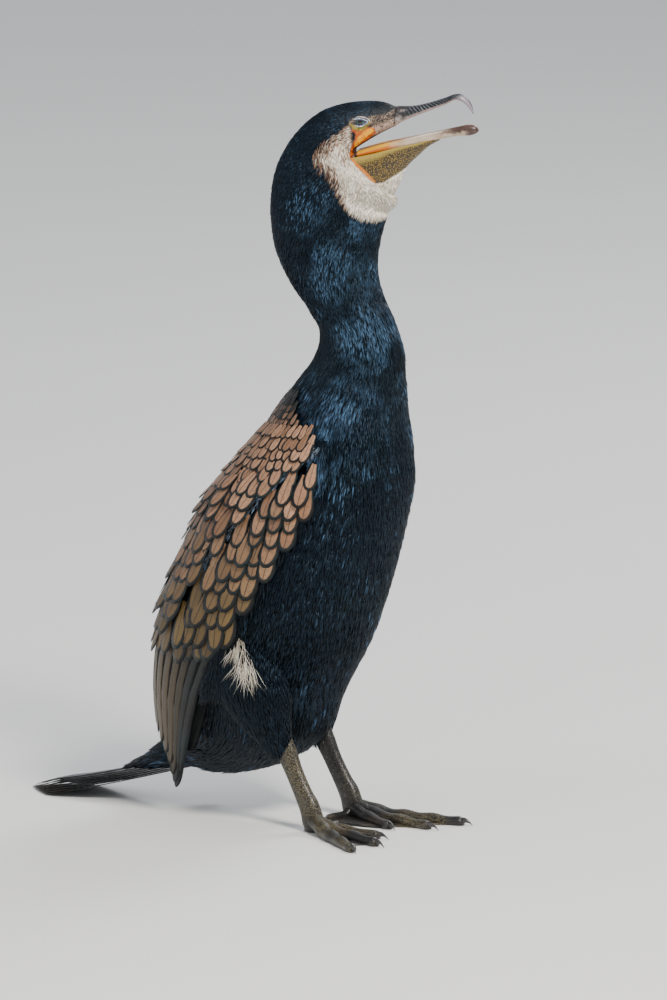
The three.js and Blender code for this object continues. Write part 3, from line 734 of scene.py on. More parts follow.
# First and last station, then spacing, width and length of a plume at those ends, in millimetres.
PLUME_AREAS = {
    "head_plumes": (0.3, 8.2, (0.9, 1.25), (1.0, 1.4), (2.4, 6.2)),
    "neck_plumes": (8.2, 15.4, (1.3, 1.75), (1.5, 1.9), (6.4, 10.5)),
    "trunk_plumes": (15.4, 21.2, (1.8, 2.2), (2.0, 2.4), (11.0, 14.0)),
    "rump_plumes": (21.2, 30.9, (2.2, 2.1), (2.5, 2.6), (14.0, 17.0)),
}
# Stations, and lowest and highest degrees from the back, where a folded wing hides the body.
COVERED = ((17.4, 18.5, 20, 22, 24.2), (0, 8, 6, 10, 40), (0, 68, 92, 82, 50))
rng = np.random.default_rng(11)
for number, (name, (first, last, gaps, wides, longs)) in enumerate(PLUME_AREAS.items()):
    between = lambda s, ends: np.interp(s, (first, last), ends)
    stations, angles = scatter(on_body, (first, last), lambda s: between(s, gaps), rng)
    share = face_shares(np.clip(stations + 0.12, 0, 30), angles)
    from_back = degrees_from(0, angles)
    low, high = (np.interp(stations, COVERED[0], side) for side in COVERED[1:])
    under_wing = (stations > COVERED[0][0]) & (stations < COVERED[0][-1])
    under_wing = under_wing & (from_back > low) & (from_back < high)
    kept = (share["bare"] < 0.4) & ~under_wing
    stations, angles, from_back = stations[kept], angles[kept], from_back[kept]
    white, margin = share["white"][kept], share["margin"][kept]
    white = white * np.clip(1 - margin * rng.uniform(0.5, 1.8, len(white)), 0.18, 1)
    white = np.clip(white + rng.normal(0, 0.05, len(white)) * (white > 0.02), 0, 1)
    near_eye = smooth(stations, 0.2, 5.0)
    wide = between(stations, wides) * (0.6 + 0.4 * near_eye)
    long = between(stations, longs) * (0.7 + 0.3 * near_eye) * (1 + 0.25 * white)
    thick = np.interp(stations, (4, 9), (2.2, 1.3)) * wide
    bed = feather_bed(
        on_body, stations, angles, np.stack([wide, long, thick], axis=-1), body_root(stations, angles), rng,
        tip_up=np.where(white > 0.4, 6.5, np.interp(stations, (2, 9, 16), (6, 4, 2.8))),
        sink=coat_depth(stations) + 0.1, white=white,
    )
    # Painted highlights: glints are painted on more plumes at the front of the neck, on the shoulder and on
    # the crown, where the light falls.
    neck_front = smooth(from_back, 40, 100) * smooth(stations, 7.0, 9.0) * (1 - smooth(stations, 15.5, 19))
    shoulder = np.exp(-((stations - 17.6) / 0.9) ** 2 - ((from_back - 112) / 26) ** 2)
    crown = (1 - smooth(stations, 2, 5)) * (1 - smooth(from_back, 60, 90))
    painted_highlight_share = np.clip(0.10 + 0.62 * neck_front + 0.8 * shoulder + 0.45 * crown, 0, 1)
    bed["painted_glint"] = (rng.uniform(0, 1, len(stations)) < painted_highlight_share) * rng.uniform(0.2, 1, len(stations))
    bed["painted_glint"] *= 1 + 0.8 * shoulder
    plant_coat(name, bed, 5 + number)


def side_root(side, across, along):
    """Where a place on one of two sides is baked, from its shares across and along that side's form."""
    return np.stack([HALF_UV[side] + across * HALF_WIDE, along, 0 * across], axis=-1)


def thigh_root(side, stations, angles):
    return side_root(side, angles / 360, THIGH_UV[0] + stations / 5 * 0.16)


THIGH_PLUME, THIGH_GAP = (2.5, 12, 3.4), 2.2  # width, length, thickness and spacing in millimetres
thigh_beds = []
for side in (RIGHT, LEFT):
    stations, angles = scatter(on_limb(THIGH, side), (0.1, len(THIGH) - 1.02), lambda s: THIGH_GAP, rng)
    sizes = np.interp(stations, (0, 4, 5), (1, 0.75, 0.5))[:, None] * THIGH_PLUME
    thigh_beds.append(feather_bed(
        on_limb(THIGH, side), stations, angles, sizes, thigh_root(side, stations, angles), rng,
        tip_up=3, sink=1.7,
    ))
plant_coat("thigh_plumes", together(thigh_beds), 10)


# Thigh tufts of the breeding plumage: two loose sprays of long white hair-like feathers on the outer side of
# each thigh, one above the other, standing out of the black coat.
TUFTS = ((0.72, 76), (1.32, 66))  # station and degrees from the front of each tuft's middle
TUFT_COUNT, FILAMENT = 70, (0.4, 22, 0.8)  # feathers in a tuft, and width, length and thickness of one
white_beds = []
for side in (RIGHT, LEFT):
    for middle, turned_to in TUFTS:
        stations = rng.normal(middle, 0.12, TUFT_COUNT)
        angles = side * (turned_to + rng.normal(0, 5, TUFT_COUNT)) % 360
        sizes = np.tile(FILAMENT, (TUFT_COUNT, 1)) * rng.uniform(0.6, 1.1, (TUFT_COUNT, 1))
        white_beds.append(feather_bed(
            on_limb(THIGH, side), stations, angles, sizes, thigh_root(side, stations, angles), rng,
            tip_up=7, sink=-0.4, swing=rng.normal(0, 20, TUFT_COUNT), white=np.full(TUFT_COUNT, 1.0),
        ))
plant_coat("thigh_filaments", together(white_beds), 12)


# Folded wings: a dark core, shingled with small scapulars and coverts that have bronze middles and glossy
# black edges. A dark parting runs between the two groups, with down along its lower side that is painted
# blue-grey as a highlight, and black plumes fringe the lower edge of the wing, with painted glints at its
# front.
WING_FORM = [
    (-43, 331, 72, 341, 55), (-66, 303, 75, 314, 67), (-94, 269, 76, 280, 77), (-118, 226, 66, 238, 81),
    (-137, 184, 53, 196, 81), (-149, 142, 37, 154, 76), (-154, 102, 14, 111, 67), (-151, 66, -12, 72, 57),
    (-144, 36, -45, 42, 49), (-138, 12, -70, 15, 44),
]
# Degrees from the back at each station, of the wing's lower edge, its core's lower edge and its upper edge.
WING_LOW = (106, 116, 118, 106, 97, 90, 90, 84, 75, 62)
CORE_LOW = (62, 90, 106, 100, 92, 90, 90, 84, 75, 62)
WING_HIGH = (40, 18, 6, 4, 4, 5, 12, 26, 40, 48)
WING_DEPTH = (5, 14, 34, 38, 36, 26, 9, 4, 3, 2)  # thickness of the core at each station
# Stations, and degrees from the back that the parting has there.
PARTING = ((0.6, 0.95, 1.15, 1.9, 2.5, 3.0, 3.6, 4.4), (112, 102, 95, 84, 76, 69, 62, 55))
CORE_SPAN, CORE_BELOW = (0.4, 7.4), 3.2
COVERT_SPAN, LOWER_FROM = (0.12, 4.45), 0.95  # stations, and where the group under the parting begins
COVERT_GAP, COVERT_STEP = 10.4, 12.5  # from one feather to the next beside it, and to the next row
COVERT_WIDE, COVERT_LONG, COVERT_BORDER = 15.5, 29, 2.4
COVERT_SIZES = ((0.1, 0.7, 1.6, 3.5), (0.48, 0.66, 0.96, 1.16))  # stations and shares of the full size
# How many plumes, between which stations, and width, length and thickness of one.
FRINGE_COUNT, FRINGE_SPAN, FRINGE_PLUME = 2800, (0.6, 5.9), (2.2, 15, 3.0)
DOWN_COUNT, DOWN_SPAN, DOWN_PLUME = 520, (0.75, 3.4), (1.5, 8, 2.2)


def on_wing(side):
    def place(station, degrees, lift=0):
        return on_section(WING_FORM, station, degrees, lift) * (1, side, 1)
    return place


def covert_size(station):
    return np.interp(station, *COVERT_SIZES)


def wing_edge(table, station):
    return np.interp(station, range(len(table)), table)


def slab(name, top, bottom):
    """A closed mesh between two grids of frame points."""
    rows, columns = top.shape[:2]
    points = np.concatenate([top.reshape(-1, 3), bottom.reshape(-1, 3)])
    layer = rows * columns
    faces = []
    for i in range(rows - 1):
        for j in range(columns - 1):
            a = i * columns + j
            faces.append((a, a + columns, a + columns + 1, a + 1))
            faces.append((layer + a, layer + a + 1, layer + a + columns + 1, layer + a + columns))
    rim = [*range(columns - 1)]
    rim += [i * columns + columns - 1 for i in range(rows - 1)]
    rim += [(rows - 1) * columns + j for j in range(columns - 1, 0, -1)]
    rim += [i * columns for i in range(rows - 1, 0, -1)]
    for n, a in enumerate(rim):
        b = rim[(n + 1) % len(rim)]
        faces.append((a, b, layer + b, layer + a))
    return outwards(new_mesh(name, points, faces))


def vane_net(width, length, border, rows=7, root=0.5, tip_from=0.62, blunt=1.0):
    """Places and faces of one flat closed feather. A place is how far aside and along it lies, its distance
    from the rim, and whether it is on the underside. The tip is rounded from tip_from onwards."""
    half = width / 2
    straight = rows // 2
    sides = np.linspace(0, tip_from, straight, endpoint=False)
    outline = [(t, root + (1 - root) * float(smooth(t, 0, tip_from))) for t in sides]
    for n in range(rows - straight):
        sweep = math.pi / 2 * n / (rows - straight - 1)
        outline.append((tip_from + (1 - tip_from) * math.sin(sweep) ** blunt, math.cos(sweep)))
    points, faces, ids = [], [], []
    for i, (t, share) in enumerate(outline):
        row = []
        tip = i == len(outline) - 1
        for rim, side in ((0, -1), (border, -1), (half, 0), (border, 1), (0, 1), (half, 2)):
            if tip and side == 1:
                row.append(row[1 - (rim == 0)])
                continue
            inner = 1 - rim / half
            aside = 0 if tip or side in (0, 2) else side * half * share * inner
            points.append((aside, t * length * (1 - rim / length), rim, side == 2))
            row.append(len(points) - 1)
        ids.append(row)
    for one, two in zip(ids, ids[1:]):
        for a, b in ((0, 1), (1, 2), (2, 3), (3, 4)):
            faces.append((one[a], one[b], two[b], two[a]))
        faces.append((two[0], two[5], one[5], one[0]))
        faces.append((two[5], two[4], one[4], one[5]))
    faces.append((ids[0][4], ids[0][3], ids[0][2], ids[0][1], ids[0][0], ids[0][5]))
    return np.array(points, float), faces


def vane_uv(net, width, length):
    return np.stack([net[:, 0] / width + 0.5, net[:, 1] / length], axis=-1)


def vane_prototype(name, width, length, border, camber, droop, thick=0.5, **shape):
    """One feather to be planted many times."""
    net, faces = vane_net(width, length, border, **shape)
    aside, along, rim, under = net.T
    height = camber * (1 - (2 * aside / width) ** 2) - droop * (along / length) ** 2 - thick * under
    mesh = new_mesh(name, np.stack([aside, along, height], axis=-1), faces)
    mark(mesh, "rim", rim)
    lay_uv(mesh, "vane", vane_uv(net, width, length))
    return add_object(name, outwards(mesh))


def bronze(name):
    """Finish of a wing feather: bronze with a dark shaft and a glossy black edge, black where dark is 1."""
    made = Finish(name, roughness=0.42, coat_weight=0.15, coat_roughness=0.3, specular_ior_level=0.3)
    rim, tone, shade, dark = (made.stored(name) for name in ("rim", "tone", "shade", "dark"))
    from_shaft = abs(made.vane(0) - 0.5)
    barbs = ((made.vane(1) * 30.0 + from_shaft * 14.0) * 24.0).sine() * 0.5 + 0.5
    uneven = made.noise(380.0, 3)
    middle = (rim + uneven * 0.6).ease(2.6, 3.4)
    shaft = from_shaft.ease(0.012, 0.035)
    upper = tone.blend((0.22, 0.105, 0.052), (0.44, 0.235, 0.135))
    lower = tone.blend((0.070, 0.042, 0.010), (0.15, 0.092, 0.026))
    tan = shade.blend(upper, lower)
    tan = (uneven.ease(0.35, 0.75) * 0.45).blend(tan, (0.10, 0.065, 0.035))
    edge = made.noise(30.0).ease(0.42, 0.6).blend((0.001, 0.002, 0.002), (0.003, 0.010, 0.011))
    coat = (middle * (0.25 + shaft * 0.75) * (1 - dark)).blend(edge, tan)
    made.set(base_color=coat)
    made.bump(barbs * 0.4 + middle * 0.3 + uneven * 0.3, 0.35, 0.0003)
    return made.material


def wing_bed(side, first, last, group, rng):
    """Roots of one group of coverts in staggered rows: group gives the angles of the row's two ends."""
    place = on_wing(side)
    stations, angles = [], []
    station, row = first, 0
    while station < last:
        ends = group(station)
        fine = np.linspace(*ends, 60)
        length = reaches(place(np.full_like(fine, station), fine))
        count = int(length[-1] / (COVERT_GAP * covert_size(station)))
        if count > 0:
            gap = length[-1] / count
            odd = row % 2
            at = np.arange(count + odd) + (0 if odd else 0.5) + rng.uniform(-0.12, 0.12, count + odd)
            at = at * gap
            angles.append(np.interp(at, length, fine))
            stations.append(station + rng.uniform(-0.02, 0.02, len(at)))
        step = COVERT_STEP * covert_size(station)
        station += step / np.linalg.norm(place(station + 0.5, 60) - place(station - 0.5, 60))
        row += 1
    return np.concatenate(stations), np.concatenate(angles)


def wing_root(side, stations, angles):
    return side_root(side, angles / 130, 0.02 + stations / 9 * 0.96)


def parting(station):
    """How far from the back the parting between scapulars and coverts lies, in degrees."""
    return np.interp(station, *PARTING)


bronze_vane = bronze("bronze_vane")
core_finish = Finish("wing_core", roughness=0.8, specular_ior_level=0.1)
core_colour = core_finish.noise(60.0).blend((0.004, 0.005, 0.006), (0.012, 0.013, 0.013))
core_finish.set(base_color=core_colour)
COVERT = vane_prototype("covert", COVERT_WIDE, COVERT_LONG, COVERT_BORDER + 0.5, camber=1.0, droop=0.6)
cores, covert_beds, down_beds, fringe_beds = [], [], [], []
for side in (RIGHT, LEFT):
    place = on_wing(side)
    station, across = np.meshgrid(np.linspace(*CORE_SPAN, 40), np.linspace(0, 1, 24), indexing="ij")
    angle = wing_edge(WING_HIGH, station) * (1 - across) + wing_edge(CORE_LOW, station) * across
    edge = np.sin(np.pi * across) ** 0.5
    top = place(station, angle, -CORE_BELOW - 5.5 * (1 - edge) * (across > 0.5))
    bottom = place(station, angle, -CORE_BELOW - wing_edge(WING_DEPTH, station) * (0.35 + 0.65 * edge))
    core = slab("wing_core", in_frame(top), in_frame(bottom))
    cores.append(add_object("wing_core", core, core_finish.material))

    scapulars = lambda s: (wing_edge(WING_HIGH, s) + 1, min(parting(s), wing_edge(WING_LOW, s) - 3))
    coverts = lambda s: (parting(s) + 8, wing_edge(WING_LOW, s) - 2)
    for group, first, raised in ((scapulars, COVERT_SPAN[0], 1.2), (coverts, LOWER_FROM, 0.0)):
        stations, angles = wing_bed(side, first, COVERT_SPAN[1], group, rng)
        small = covert_size(stations)
        near = 1 - smooth(parting(stations) - angles, 0, 12) if raised else 0
        size = np.stack([small, small * np.interp(stations, (0, 2, 4.5), (0.95, 1, 1.15)), small], axis=-1)
        bed = feather_bed(
            place, stations, angles, size, wing_root(side, stations, angles), rng,
            tip_up=5.5, sink=1.3 - raised * near, swing=np.where(angles > parting(stations), 4, -3),
        )
        bed["shade"] = smooth(stations + rng.normal(0, 0.25, len(stations)), 1.4, 4.0)
        bed["dark"] = np.where(rng.uniform(0, 1, len(stations)) < 0.05, 0.35, 0.0)
        covert_beds.append(bed)

    count = FRINGE_COUNT
    stations = rng.uniform(*FRINGE_SPAN, count)
    out = rng.uniform(0, 1, count)
    angles = wing_edge(WING_LOW, stations) - 3 + 10 * out
    bed = feather_bed(
        place, stations, angles, np.tile(FRINGE_PLUME, (count, 1)), wing_root(side, stations, angles), rng,
        tip_up=4, sink=2.4 + 4.5 * out, swing=rng.normal(-5, 8, count),
    )
    # Painted highlights: glints are painted on the fringe plumes at the front of the wing.
    painted_highlight_share = 0.9 * (1 - smooth(stations, 0.8, 2))
    bed["painted_glint"] = (rng.uniform(0, 1, count) < painted_highlight_share) * rng.uniform(0.3, 1, count)
    fringe_beds.append(bed)

    count = DOWN_COUNT
    stations = rng.uniform(*DOWN_SPAN, count)
    angles = parting(stations) + rng.uniform(1.5, 8.5, count)
    down_beds.append(feather_bed(
        place, stations, angles, np.tile(DOWN_PLUME, (count, 1)), wing_root(side, stations, angles), rng,
        tip_up=10, sink=0.9, swing=rng.normal(-12, 14, count), white=np.full(count, 0.5),
    ))

wing_core = joined(cores)
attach(wing_core, "root")
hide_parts("wing_right", "wing_left")


# Mantle: smaller feathers of the same kind over the back and the shoulders, where the wings leave the body
# bare between them. They are black on the shoulders and bronze further back.
MANTLE_SPAN = (16.05, 19.4)
MANTLE_GAP = ((17.5, 19.4), (5.2, 8.0))  # stations and millimetres
MANTLE_LOW = ((16.05, 16.6, 17.2), (38, 8, 0))  # stations and degrees from the back
MANTLE_HIGH = ((16.05, 17, 17.7, 18.0, 19.4), (66, 88, 94, 34, 16))
MANTLE_SIZES = ((16.05, 17.7, 19.4), (0.34, 0.47, 0.8))
for side in (RIGHT, LEFT):
    stations, angles = scatter(on_body, MANTLE_SPAN, lambda s: np.interp(s, *MANTLE_GAP), rng, jitter=0.12)
    angles = (angles + 180) % 360 - 180
    low, high = (np.interp(stations, *limit) for limit in (MANTLE_LOW, MANTLE_HIGH))
    kept = (side * angles >= low) & (side * angles < high)
    stations, angles = stations[kept], angles[kept]
    small = np.interp(stations, *MANTLE_SIZES)
    bed = feather_bed(
        on_body, stations, angles, np.stack([small, small, small], axis=-1),
        wing_root(side, stations - 11, np.abs(angles)), rng, tip_up=4, sink=0.2,
    )
    bed["shade"] = np.zeros(len(stations))
    bed["dark"] = 1 - smooth(stations + rng.normal(0, 0.2, len(stations)), 16.2, 17.3)
    covert_beds.append(bed)
wing_coverts = plant(
    "wing_coverts", together(covert_beds), COVERT, bronze_vane, patch=0.02, spread=0.08, seed=21,
)
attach(wing_coverts, "root")

plant_coat("wing_fringe", together(fringe_beds), 23)

# Painted highlight: the down along the parting is painted blue-grey, as sky reflected in it.
down = Finish("painted_highlight_down", roughness=0.4, coat_weight=0.3)
pale = down.stored("tone").ease(0.3, 1.0)
down.set(base_color=pale.blend((0.002, 0.004, 0.008), (0.16, 0.24, 0.36)))
parting_down = plant("parting_down", together(down_beds), PLUME, down.material, seed=22)
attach(parting_down, "root")


# Flight feathers of the folded wings: long stiff vanes from under the last coverts, the innermost on top. The
# tertials are brown with dark edges, the outermost are black and point past the rump.
FLIGHT_FAN = [  # root station and angle, tip station and angle, width, rise of the tip, and how black
    (4.3, 16, 6.7, 15, 19, 1.2, 0.1), (4.2, 33, 6.95, 29, 19, 0.6, 0), (4.1, 49, 7.2, 41, 18, 0.1, 0),
    (4.1, 63, 7.55, 50, 17, -0.5, 0), (4.1, 75, 7.95, 56.5, 16, -1.2, 0.15),
    (4.0, 85, 8.35, 60, 15, -2.0, 0.75), (4.0, 95, 8.6, 63, 14, -2.8, 1),
]
FLIGHT_COUNT, FLIGHT_ROWS = 9, 13


def long_vane(place, width, length, border, rise, camber, thick=0.6, **shape):
    """Points, faces, rim distances and vane UV of a long feather laid by place(share along, aside, lift)."""
    net, faces = vane_net(width, length, border, rows=FLIGHT_ROWS, **shape)
    aside, along, rim, under = net.T
    lift = rise(along / length) + camber * (1 - (2 * aside / width) ** 2) - thick * under
    return place(along / length, aside, lift), faces, rim, vane_uv(net, width, length)


def one_mesh(name, vanes, marks):
    """Joins long feathers into one mesh, each with its own narrow bake island and its own mark values."""
    points, faces, uvs, bakes, rims, values = [], [], [], [], [], {key: [] for key in marks[0]}
    for i, ((place, own, rim, uv), own_marks) in enumerate(zip(vanes, marks)):
        start = sum(map(len, points))
        low, high = np.array([(i / len(vanes) + 0.002, 0.01), ((i + 1) / len(vanes) - 0.002, 0.99)])
        points.append(place)
        faces += [tuple(start + n for n in face) for face in own]
        uvs.append(uv)
        bakes.append(low + uv * (high - low))
        rims.append(rim)
        for key, value in own_marks.items():
            values[key].append(np.full(len(place), value))
    mesh = new_mesh(name, in_frame(np.concatenate(points)), faces)
    lay_uv(mesh, "vane", np.concatenate(uvs))
    lay_uv(mesh, "OFBake", np.concatenate(bakes))
    mark(mesh, "rim", np.concatenate(rims))
    for key, parts in values.items():
        mark(mesh, key, np.concatenate(parts))
    return outwards(mesh)


def along_wing(side, start, end):
    """Gives places on a wing along a line from one station and angle to another."""
    surface = on_wing(side)

    def place(share, aside, lift):
        station = start[0] + (end[0] - start[0]) * share
        angle = start[1] + (end[1] - start[1]) * share
        one, next_one = surface(station, angle, lift), surface(station, angle + 2, lift)
        reach = np.linalg.norm(next_one - one, axis=-1)
        return surface(station, angle + aside * 2 / reach, lift)
    return place


flight, marks = [], []
for side in (RIGHT, LEFT):
    for k in range(FLIGHT_COUNT):
        *ends, width, rise, black = spline(FLIGHT_FAN, k * (len(FLIGHT_FAN) - 1) / (FLIGHT_COUNT - 1))
        place = along_wing(side, ends[:2], ends[2:])
        share = np.linspace(0, 1, 30)
        length = np.linalg.norm(np.diff(place(share, 0 * share, 0 * share), axis=0), axis=-1).sum()
        flight.append(long_vane(
            place, width, length, 4.4, lambda t: -1.4 + (rise + 1.4) * t, camber=0.9,
            root=0.6, tip_from=0.86, blunt=0.8,
        ))
        marks.append({"tone": rng.uniform(0, 0.8), "shade": 1.0, "dark": float(np.clip(0.25 + black, 0, 1))})
flight_feathers = add_object("flight_feathers", one_mesh("flight_feathers", flight, marks), bronze_vane)
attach(flight_feathers, "root")


# Tail: seven pairs of stiff black feathers with strong shafts and worn brown ends, laid down to the floor,
# with the middle pair longest and on top.
# Millimetres, and degrees from one feather to the next. Each feather is shorter than the one inside it.
TAIL = {"pairs": 7, "root": -128, "length": 158, "shorter": 4.4, "spread": 1.75, "width": 21, "step": 1.45}
TAIL_REACH, TAIL_ROOT_HIGH = 132, 33


def along_tail(side, pair, length):
    """Gives places along one tail feather, which comes down from the rump and rests on the one outside it."""
    angle = side * math.radians(TAIL["spread"] * (pair + 0.35))
    outer = TAIL["pairs"] - 1 - pair
    shortest = TAIL["length"] - TAIL["shorter"] * (TAIL["pairs"] - 1)

    def place(share, aside, lift):
        along = length * share
        fall = TAIL_ROOT_HIGH * np.maximum(0, 1 - along / TAIL_REACH) ** 1.15
        above = np.clip((length - along) / (length - shortest + 0.001), 0, 1)
        level = fall + TAIL["step"] * outer * above * (pair < TAIL["pairs"] - 1)
        middle = TAIL["step"] * 0.5 if side == LEFT and pair == 0 else 0
        return np.stack([
            TAIL["root"] - along * math.cos(angle) - aside * math.sin(angle),
            along * math.sin(angle) + aside * math.cos(angle),
            level + middle + 0.5 + lift,
        ], axis=-1)
    return place


tail_finish = Finish("tail_vane", roughness=0.38, coat_weight=0.3, coat_roughness=0.3)
along, from_shaft = tail_finish.vane(1), abs(tail_finish.vane(0) - 0.5)
barbs = ((along * 90.0 + from_shaft * 30.0) * 12.0).sine() * 0.5 + 0.5
# Worn brown ends of the feathers.
wear_and_highlight = (along + tail_finish.noise(60.0) * 0.3).ease(0.86, 1.15)
shaft = 1 - from_shaft.ease(0.02, 0.05)
coat = tail_finish.noise(25.0).blend((0.005, 0.008, 0.010), (0.010, 0.018, 0.020))
coat = (wear_and_highlight * 0.7).blend(coat, (0.075, 0.055, 0.028))
tail_finish.set(base_color=shaft.blend(coat, (0.002, 0.002, 0.002)))
tail_finish.bump(barbs * 0.5 + shaft, 0.4, 0.0004)
tail_vanes, marks = [], []
for pair in range(TAIL["pairs"] - 1, -1, -1):
    for side in (RIGHT, LEFT):
        length = TAIL["length"] - TAIL["shorter"] * pair
        tail_vanes.append(long_vane(
            along_tail(side, pair, length), TAIL["width"], length, 1.5, lambda t: 0 * t,
            camber=0.35, thick=0.85, root=0.35, tip_from=0.82, blunt=0.9,
        ))
        marks.append({"tone": rng.uniform(0, 1)})
tail_mesh = one_mesh("tail_feathers", tail_vanes, marks)
tail_feathers = add_object("tail_feathers", tail_mesh, tail_finish.material)
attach(tail_feathers, "root")
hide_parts("tail")


# Bill: a long horny upper half with a groove along each side and a hooked nail, blue-black above and pinkish
# below, and a lower half that is yellow at its root, then cream with a painted white highlight along its
# upper edge, and dark at its swollen tip. Both halves are hollowed on the mouth's side.
UPPER_BILL = [
    (63.4, 586, 61.9, 569.2, 7.5), (78, 586.8, 77.8, 577, 5.6), (90, 589.8, 91, 582.6, 4.6),
    (102, 593.8, 104, 588.2, 4), (109, 596.6, 110.5, 591.6, 3.9), (115.5, 597, 114.6, 591, 3.6),
    (121, 593, 118.6, 588.6, 2.8), (124.2, 587.4, 121.8, 585.6, 1.8), (125.4, 581.4, 124.7, 581.2, 0.4),
]
LOWER_BILL = [
    (30, 550, 31, 543, 12.5), (42, 554.2, 43.6, 546, 11), (54, 558, 56, 548.4, 9.4),
    (68, 561.4, 70.4, 551.8, 7.6), (84, 565.2, 86.2, 556.6, 5.8), (100, 568.6, 101.6, 561, 4.6),
    (112, 571.6, 113, 563.2, 4.2), (120, 573.4, 121, 563.6, 4.2), (126.6, 572, 126.8, 565.2, 3.4),
    (129.4, 569, 129.2, 567, 1.2),
]
BILL_ROWS, BILL_SIDES = 110, 40
GROOVE_AT, GROOVE_HALF, GROOVE_DEEP = 68, 11, 0.55  # degrees from the top of the bill, and millimetres
PALATE_DEEP, FLOOR_DEEP = 0.55, 0.75  # of the depth of each half that its hollow takes up
HOLLOW_HALF = 52  # degrees from the middle of the hollow to its rim


def bump_at(value, middle, half):
    """1 in the middle and 0 from half away on."""
    return 0.5 + 0.5 * np.cos(np.pi * np.clip((np.asarray(value, float) - middle) / half, -1, 1))


def bill_half(name, stations, hollow_at, hollow, start, groove):
    """Half of the bill, with its groove and with the mouth's side hollowed round the angle hollow_at."""
    station, turn = ring_grid(start, len(stations) - 1, BILL_ROWS, BILL_SIDES)
    from_top = degrees_from(0, turn)
    back, front = (on_section(stations, station, 0 * turn + degrees) for degrees in (0, 180))
    deep = np.linalg.norm(back - front, axis=-1) / 2
    fades = smooth(station, 0, 0.6) * (1 - smooth(station, len(stations) - 3.6, len(stations) - 2.2))
    lift = -groove * bump_at(from_top, GROOVE_AT, GROOVE_HALF) * fades
    lift = lift - hollow * deep * bump_at(degrees_from(hollow_at, turn), 0, HOLLOW_HALF) * fades
    mesh = ringed(in_frame(turned(on_section(stations, station, turn, lift))), name)
    mark_rings(mesh, "along", station / (len(stations) - 1))
    mark_rings(mesh, "from_top", from_top / 180)
    return add_object(name, mesh)


upper_bill = bill_half("upper_bill", UPPER_BILL, 180, PALATE_DEEP, 0, GROOVE_DEEP)
horn = Finish("upper_horn", roughness=0.34, coat_weight=0.25, coat_roughness=0.2)
along, from_top = horn.stored("along"), horn.stored("from_top")
wear = horn.noise(160.0, 4)
slant = along * 92.0 - from_top * 9.0 + wear * 2.6
streak = ((slant * 2.6).sine() * 0.4 + wear).ease(0.60, 1.0)
slate = streak.blend((0.004, 0.005, 0.008), (0.14, 0.15, 0.17))
pink = wear.blend((0.16, 0.10, 0.09), (0.44, 0.31, 0.28))
side_colour = (from_top + wear * 0.16).ease(0.60, 0.72).blend(slate, pink)
root_skin = wear.ease(0.45, 0.65).blend((0.012, 0.011, 0.012), (0.24, 0.20, 0.185))
root_skin = (from_top + wear * 0.2).ease(0.72, 0.84).blend(root_skin, (0.36, 0.25, 0.19))
side_colour = (along + wear * 0.08).ease(0.08, 0.15).blend(root_skin, side_colour)
nail = (from_top + wear * 0.2).ease(0.2, 0.45).blend((0.05, 0.045, 0.06), (0.26, 0.21, 0.25))
horn.set(base_color=(along + wear * 0.10).ease(0.60, 0.72).blend(side_colour, nail))
horn.bump(streak * 0.5 + wear * 0.5, 0.35, 0.0004)
upper_bill.data.materials.append(horn.material)
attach(upper_bill, "root")
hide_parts("bill_upper")

lower_bill = bill_half("lower_bill", LOWER_BILL, 0, FLOOR_DEEP, 0.2, 0.25)
horn = Finish("lower_horn", roughness=0.4, coat_weight=0.2, coat_roughness=0.25)
along, from_top = horn.stored("along"), horn.stored("from_top")
wear = horn.noise(200.0, 4)
yellow = wear.blend((0.52, 0.22, 0.002), (0.80, 0.44, 0.012))
orange = wear.blend((0.40, 0.070, 0.001), (0.62, 0.17, 0.004))
cream = wear.blend((0.30, 0.205, 0.13), (0.60, 0.49, 0.37))
dark = wear.blend((0.014, 0.008, 0.007), (0.10, 0.045, 0.03))
base = from_top.ease(0.38, 0.5).blend(yellow, orange)
mottled = (1 - (from_top + wear * 0.4).ease(0.66, 0.86)) * (along + wear * 0.2).ease(0.56, 0.76)
middle = mottled.blend(cream, dark)
colour = (along + wear * 0.1).ease(0.26, 0.40).blend(base, middle)
tip = (along + wear * 0.14).ease(0.80, 0.88)
colour = tip.blend(colour, dark)
# Painted highlight: a thin white line along the upper edge of the lower half, broken up by the noise.
rim = (1 - abs(from_top - 0.27).ease(0.03, 0.10)) * along.ease(0.3, 0.5)
rim = rim * (1 - (along + wear * 0.2).ease(0.60, 0.72))
colour = (rim * (0.25 + wear)).blend(colour, (0.74, 0.70, 0.64))
inner = wear.blend((0.10, 0.022, 0.014), (0.26, 0.10, 0.06))
horn.set(base_color=(1 - (from_top + wear * 0.06).ease(0.16, 0.24)).blend(colour, inner))
horn.bump(wear, 0.3, 0.0004)
lower_bill.data.materials.append(horn.material)
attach(lower_bill, "root")
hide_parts("bill_lower")


# Pouch: bare stretched skin between the lower bill and the throat, black-brown and covered with fine yellow
# grains, with an orange rim where it meets the white throat. Short white plumes cover its hind part.
POUCH_FORM = [
    (99, 562, 98, 559.4, 2.6), (90, 560, 89, 554, 4.6), (80, 557, 81, 546.6, 6.4),
    (69, 555, 74, 540, 8.4), (57, 552, 69, 533, 10.6), (46, 549, 65.5, 525, 12.6),
    (36, 547, 61.5, 517, 14.6), (26, 545, 54, 508, 16.5),
]
POUCH_WHITE = [  # drawn on the side view, as the markings of the head are
    (20, 544), (28.7, 543.2), (31.7, 539.6), (38.8, 533.4), (42.9, 528.8), (46.7, 524.6), (54.5, 525.6),
    (59.5, 529), (64.5, 532), (70, 536), (78, 541), (90, 530), (60, 490), (20, 500),
]
POUCH_ORANGE = [
    (26, 549), (30, 546), (33.5, 541.6), (40.4, 535.4), (44.6, 530.4), (48.3, 526.6), (46.7, 524.6),
    (42.9, 528.8), (38.8, 533.4), (31.7, 539.6), (28.7, 543.2), (26, 545),
]


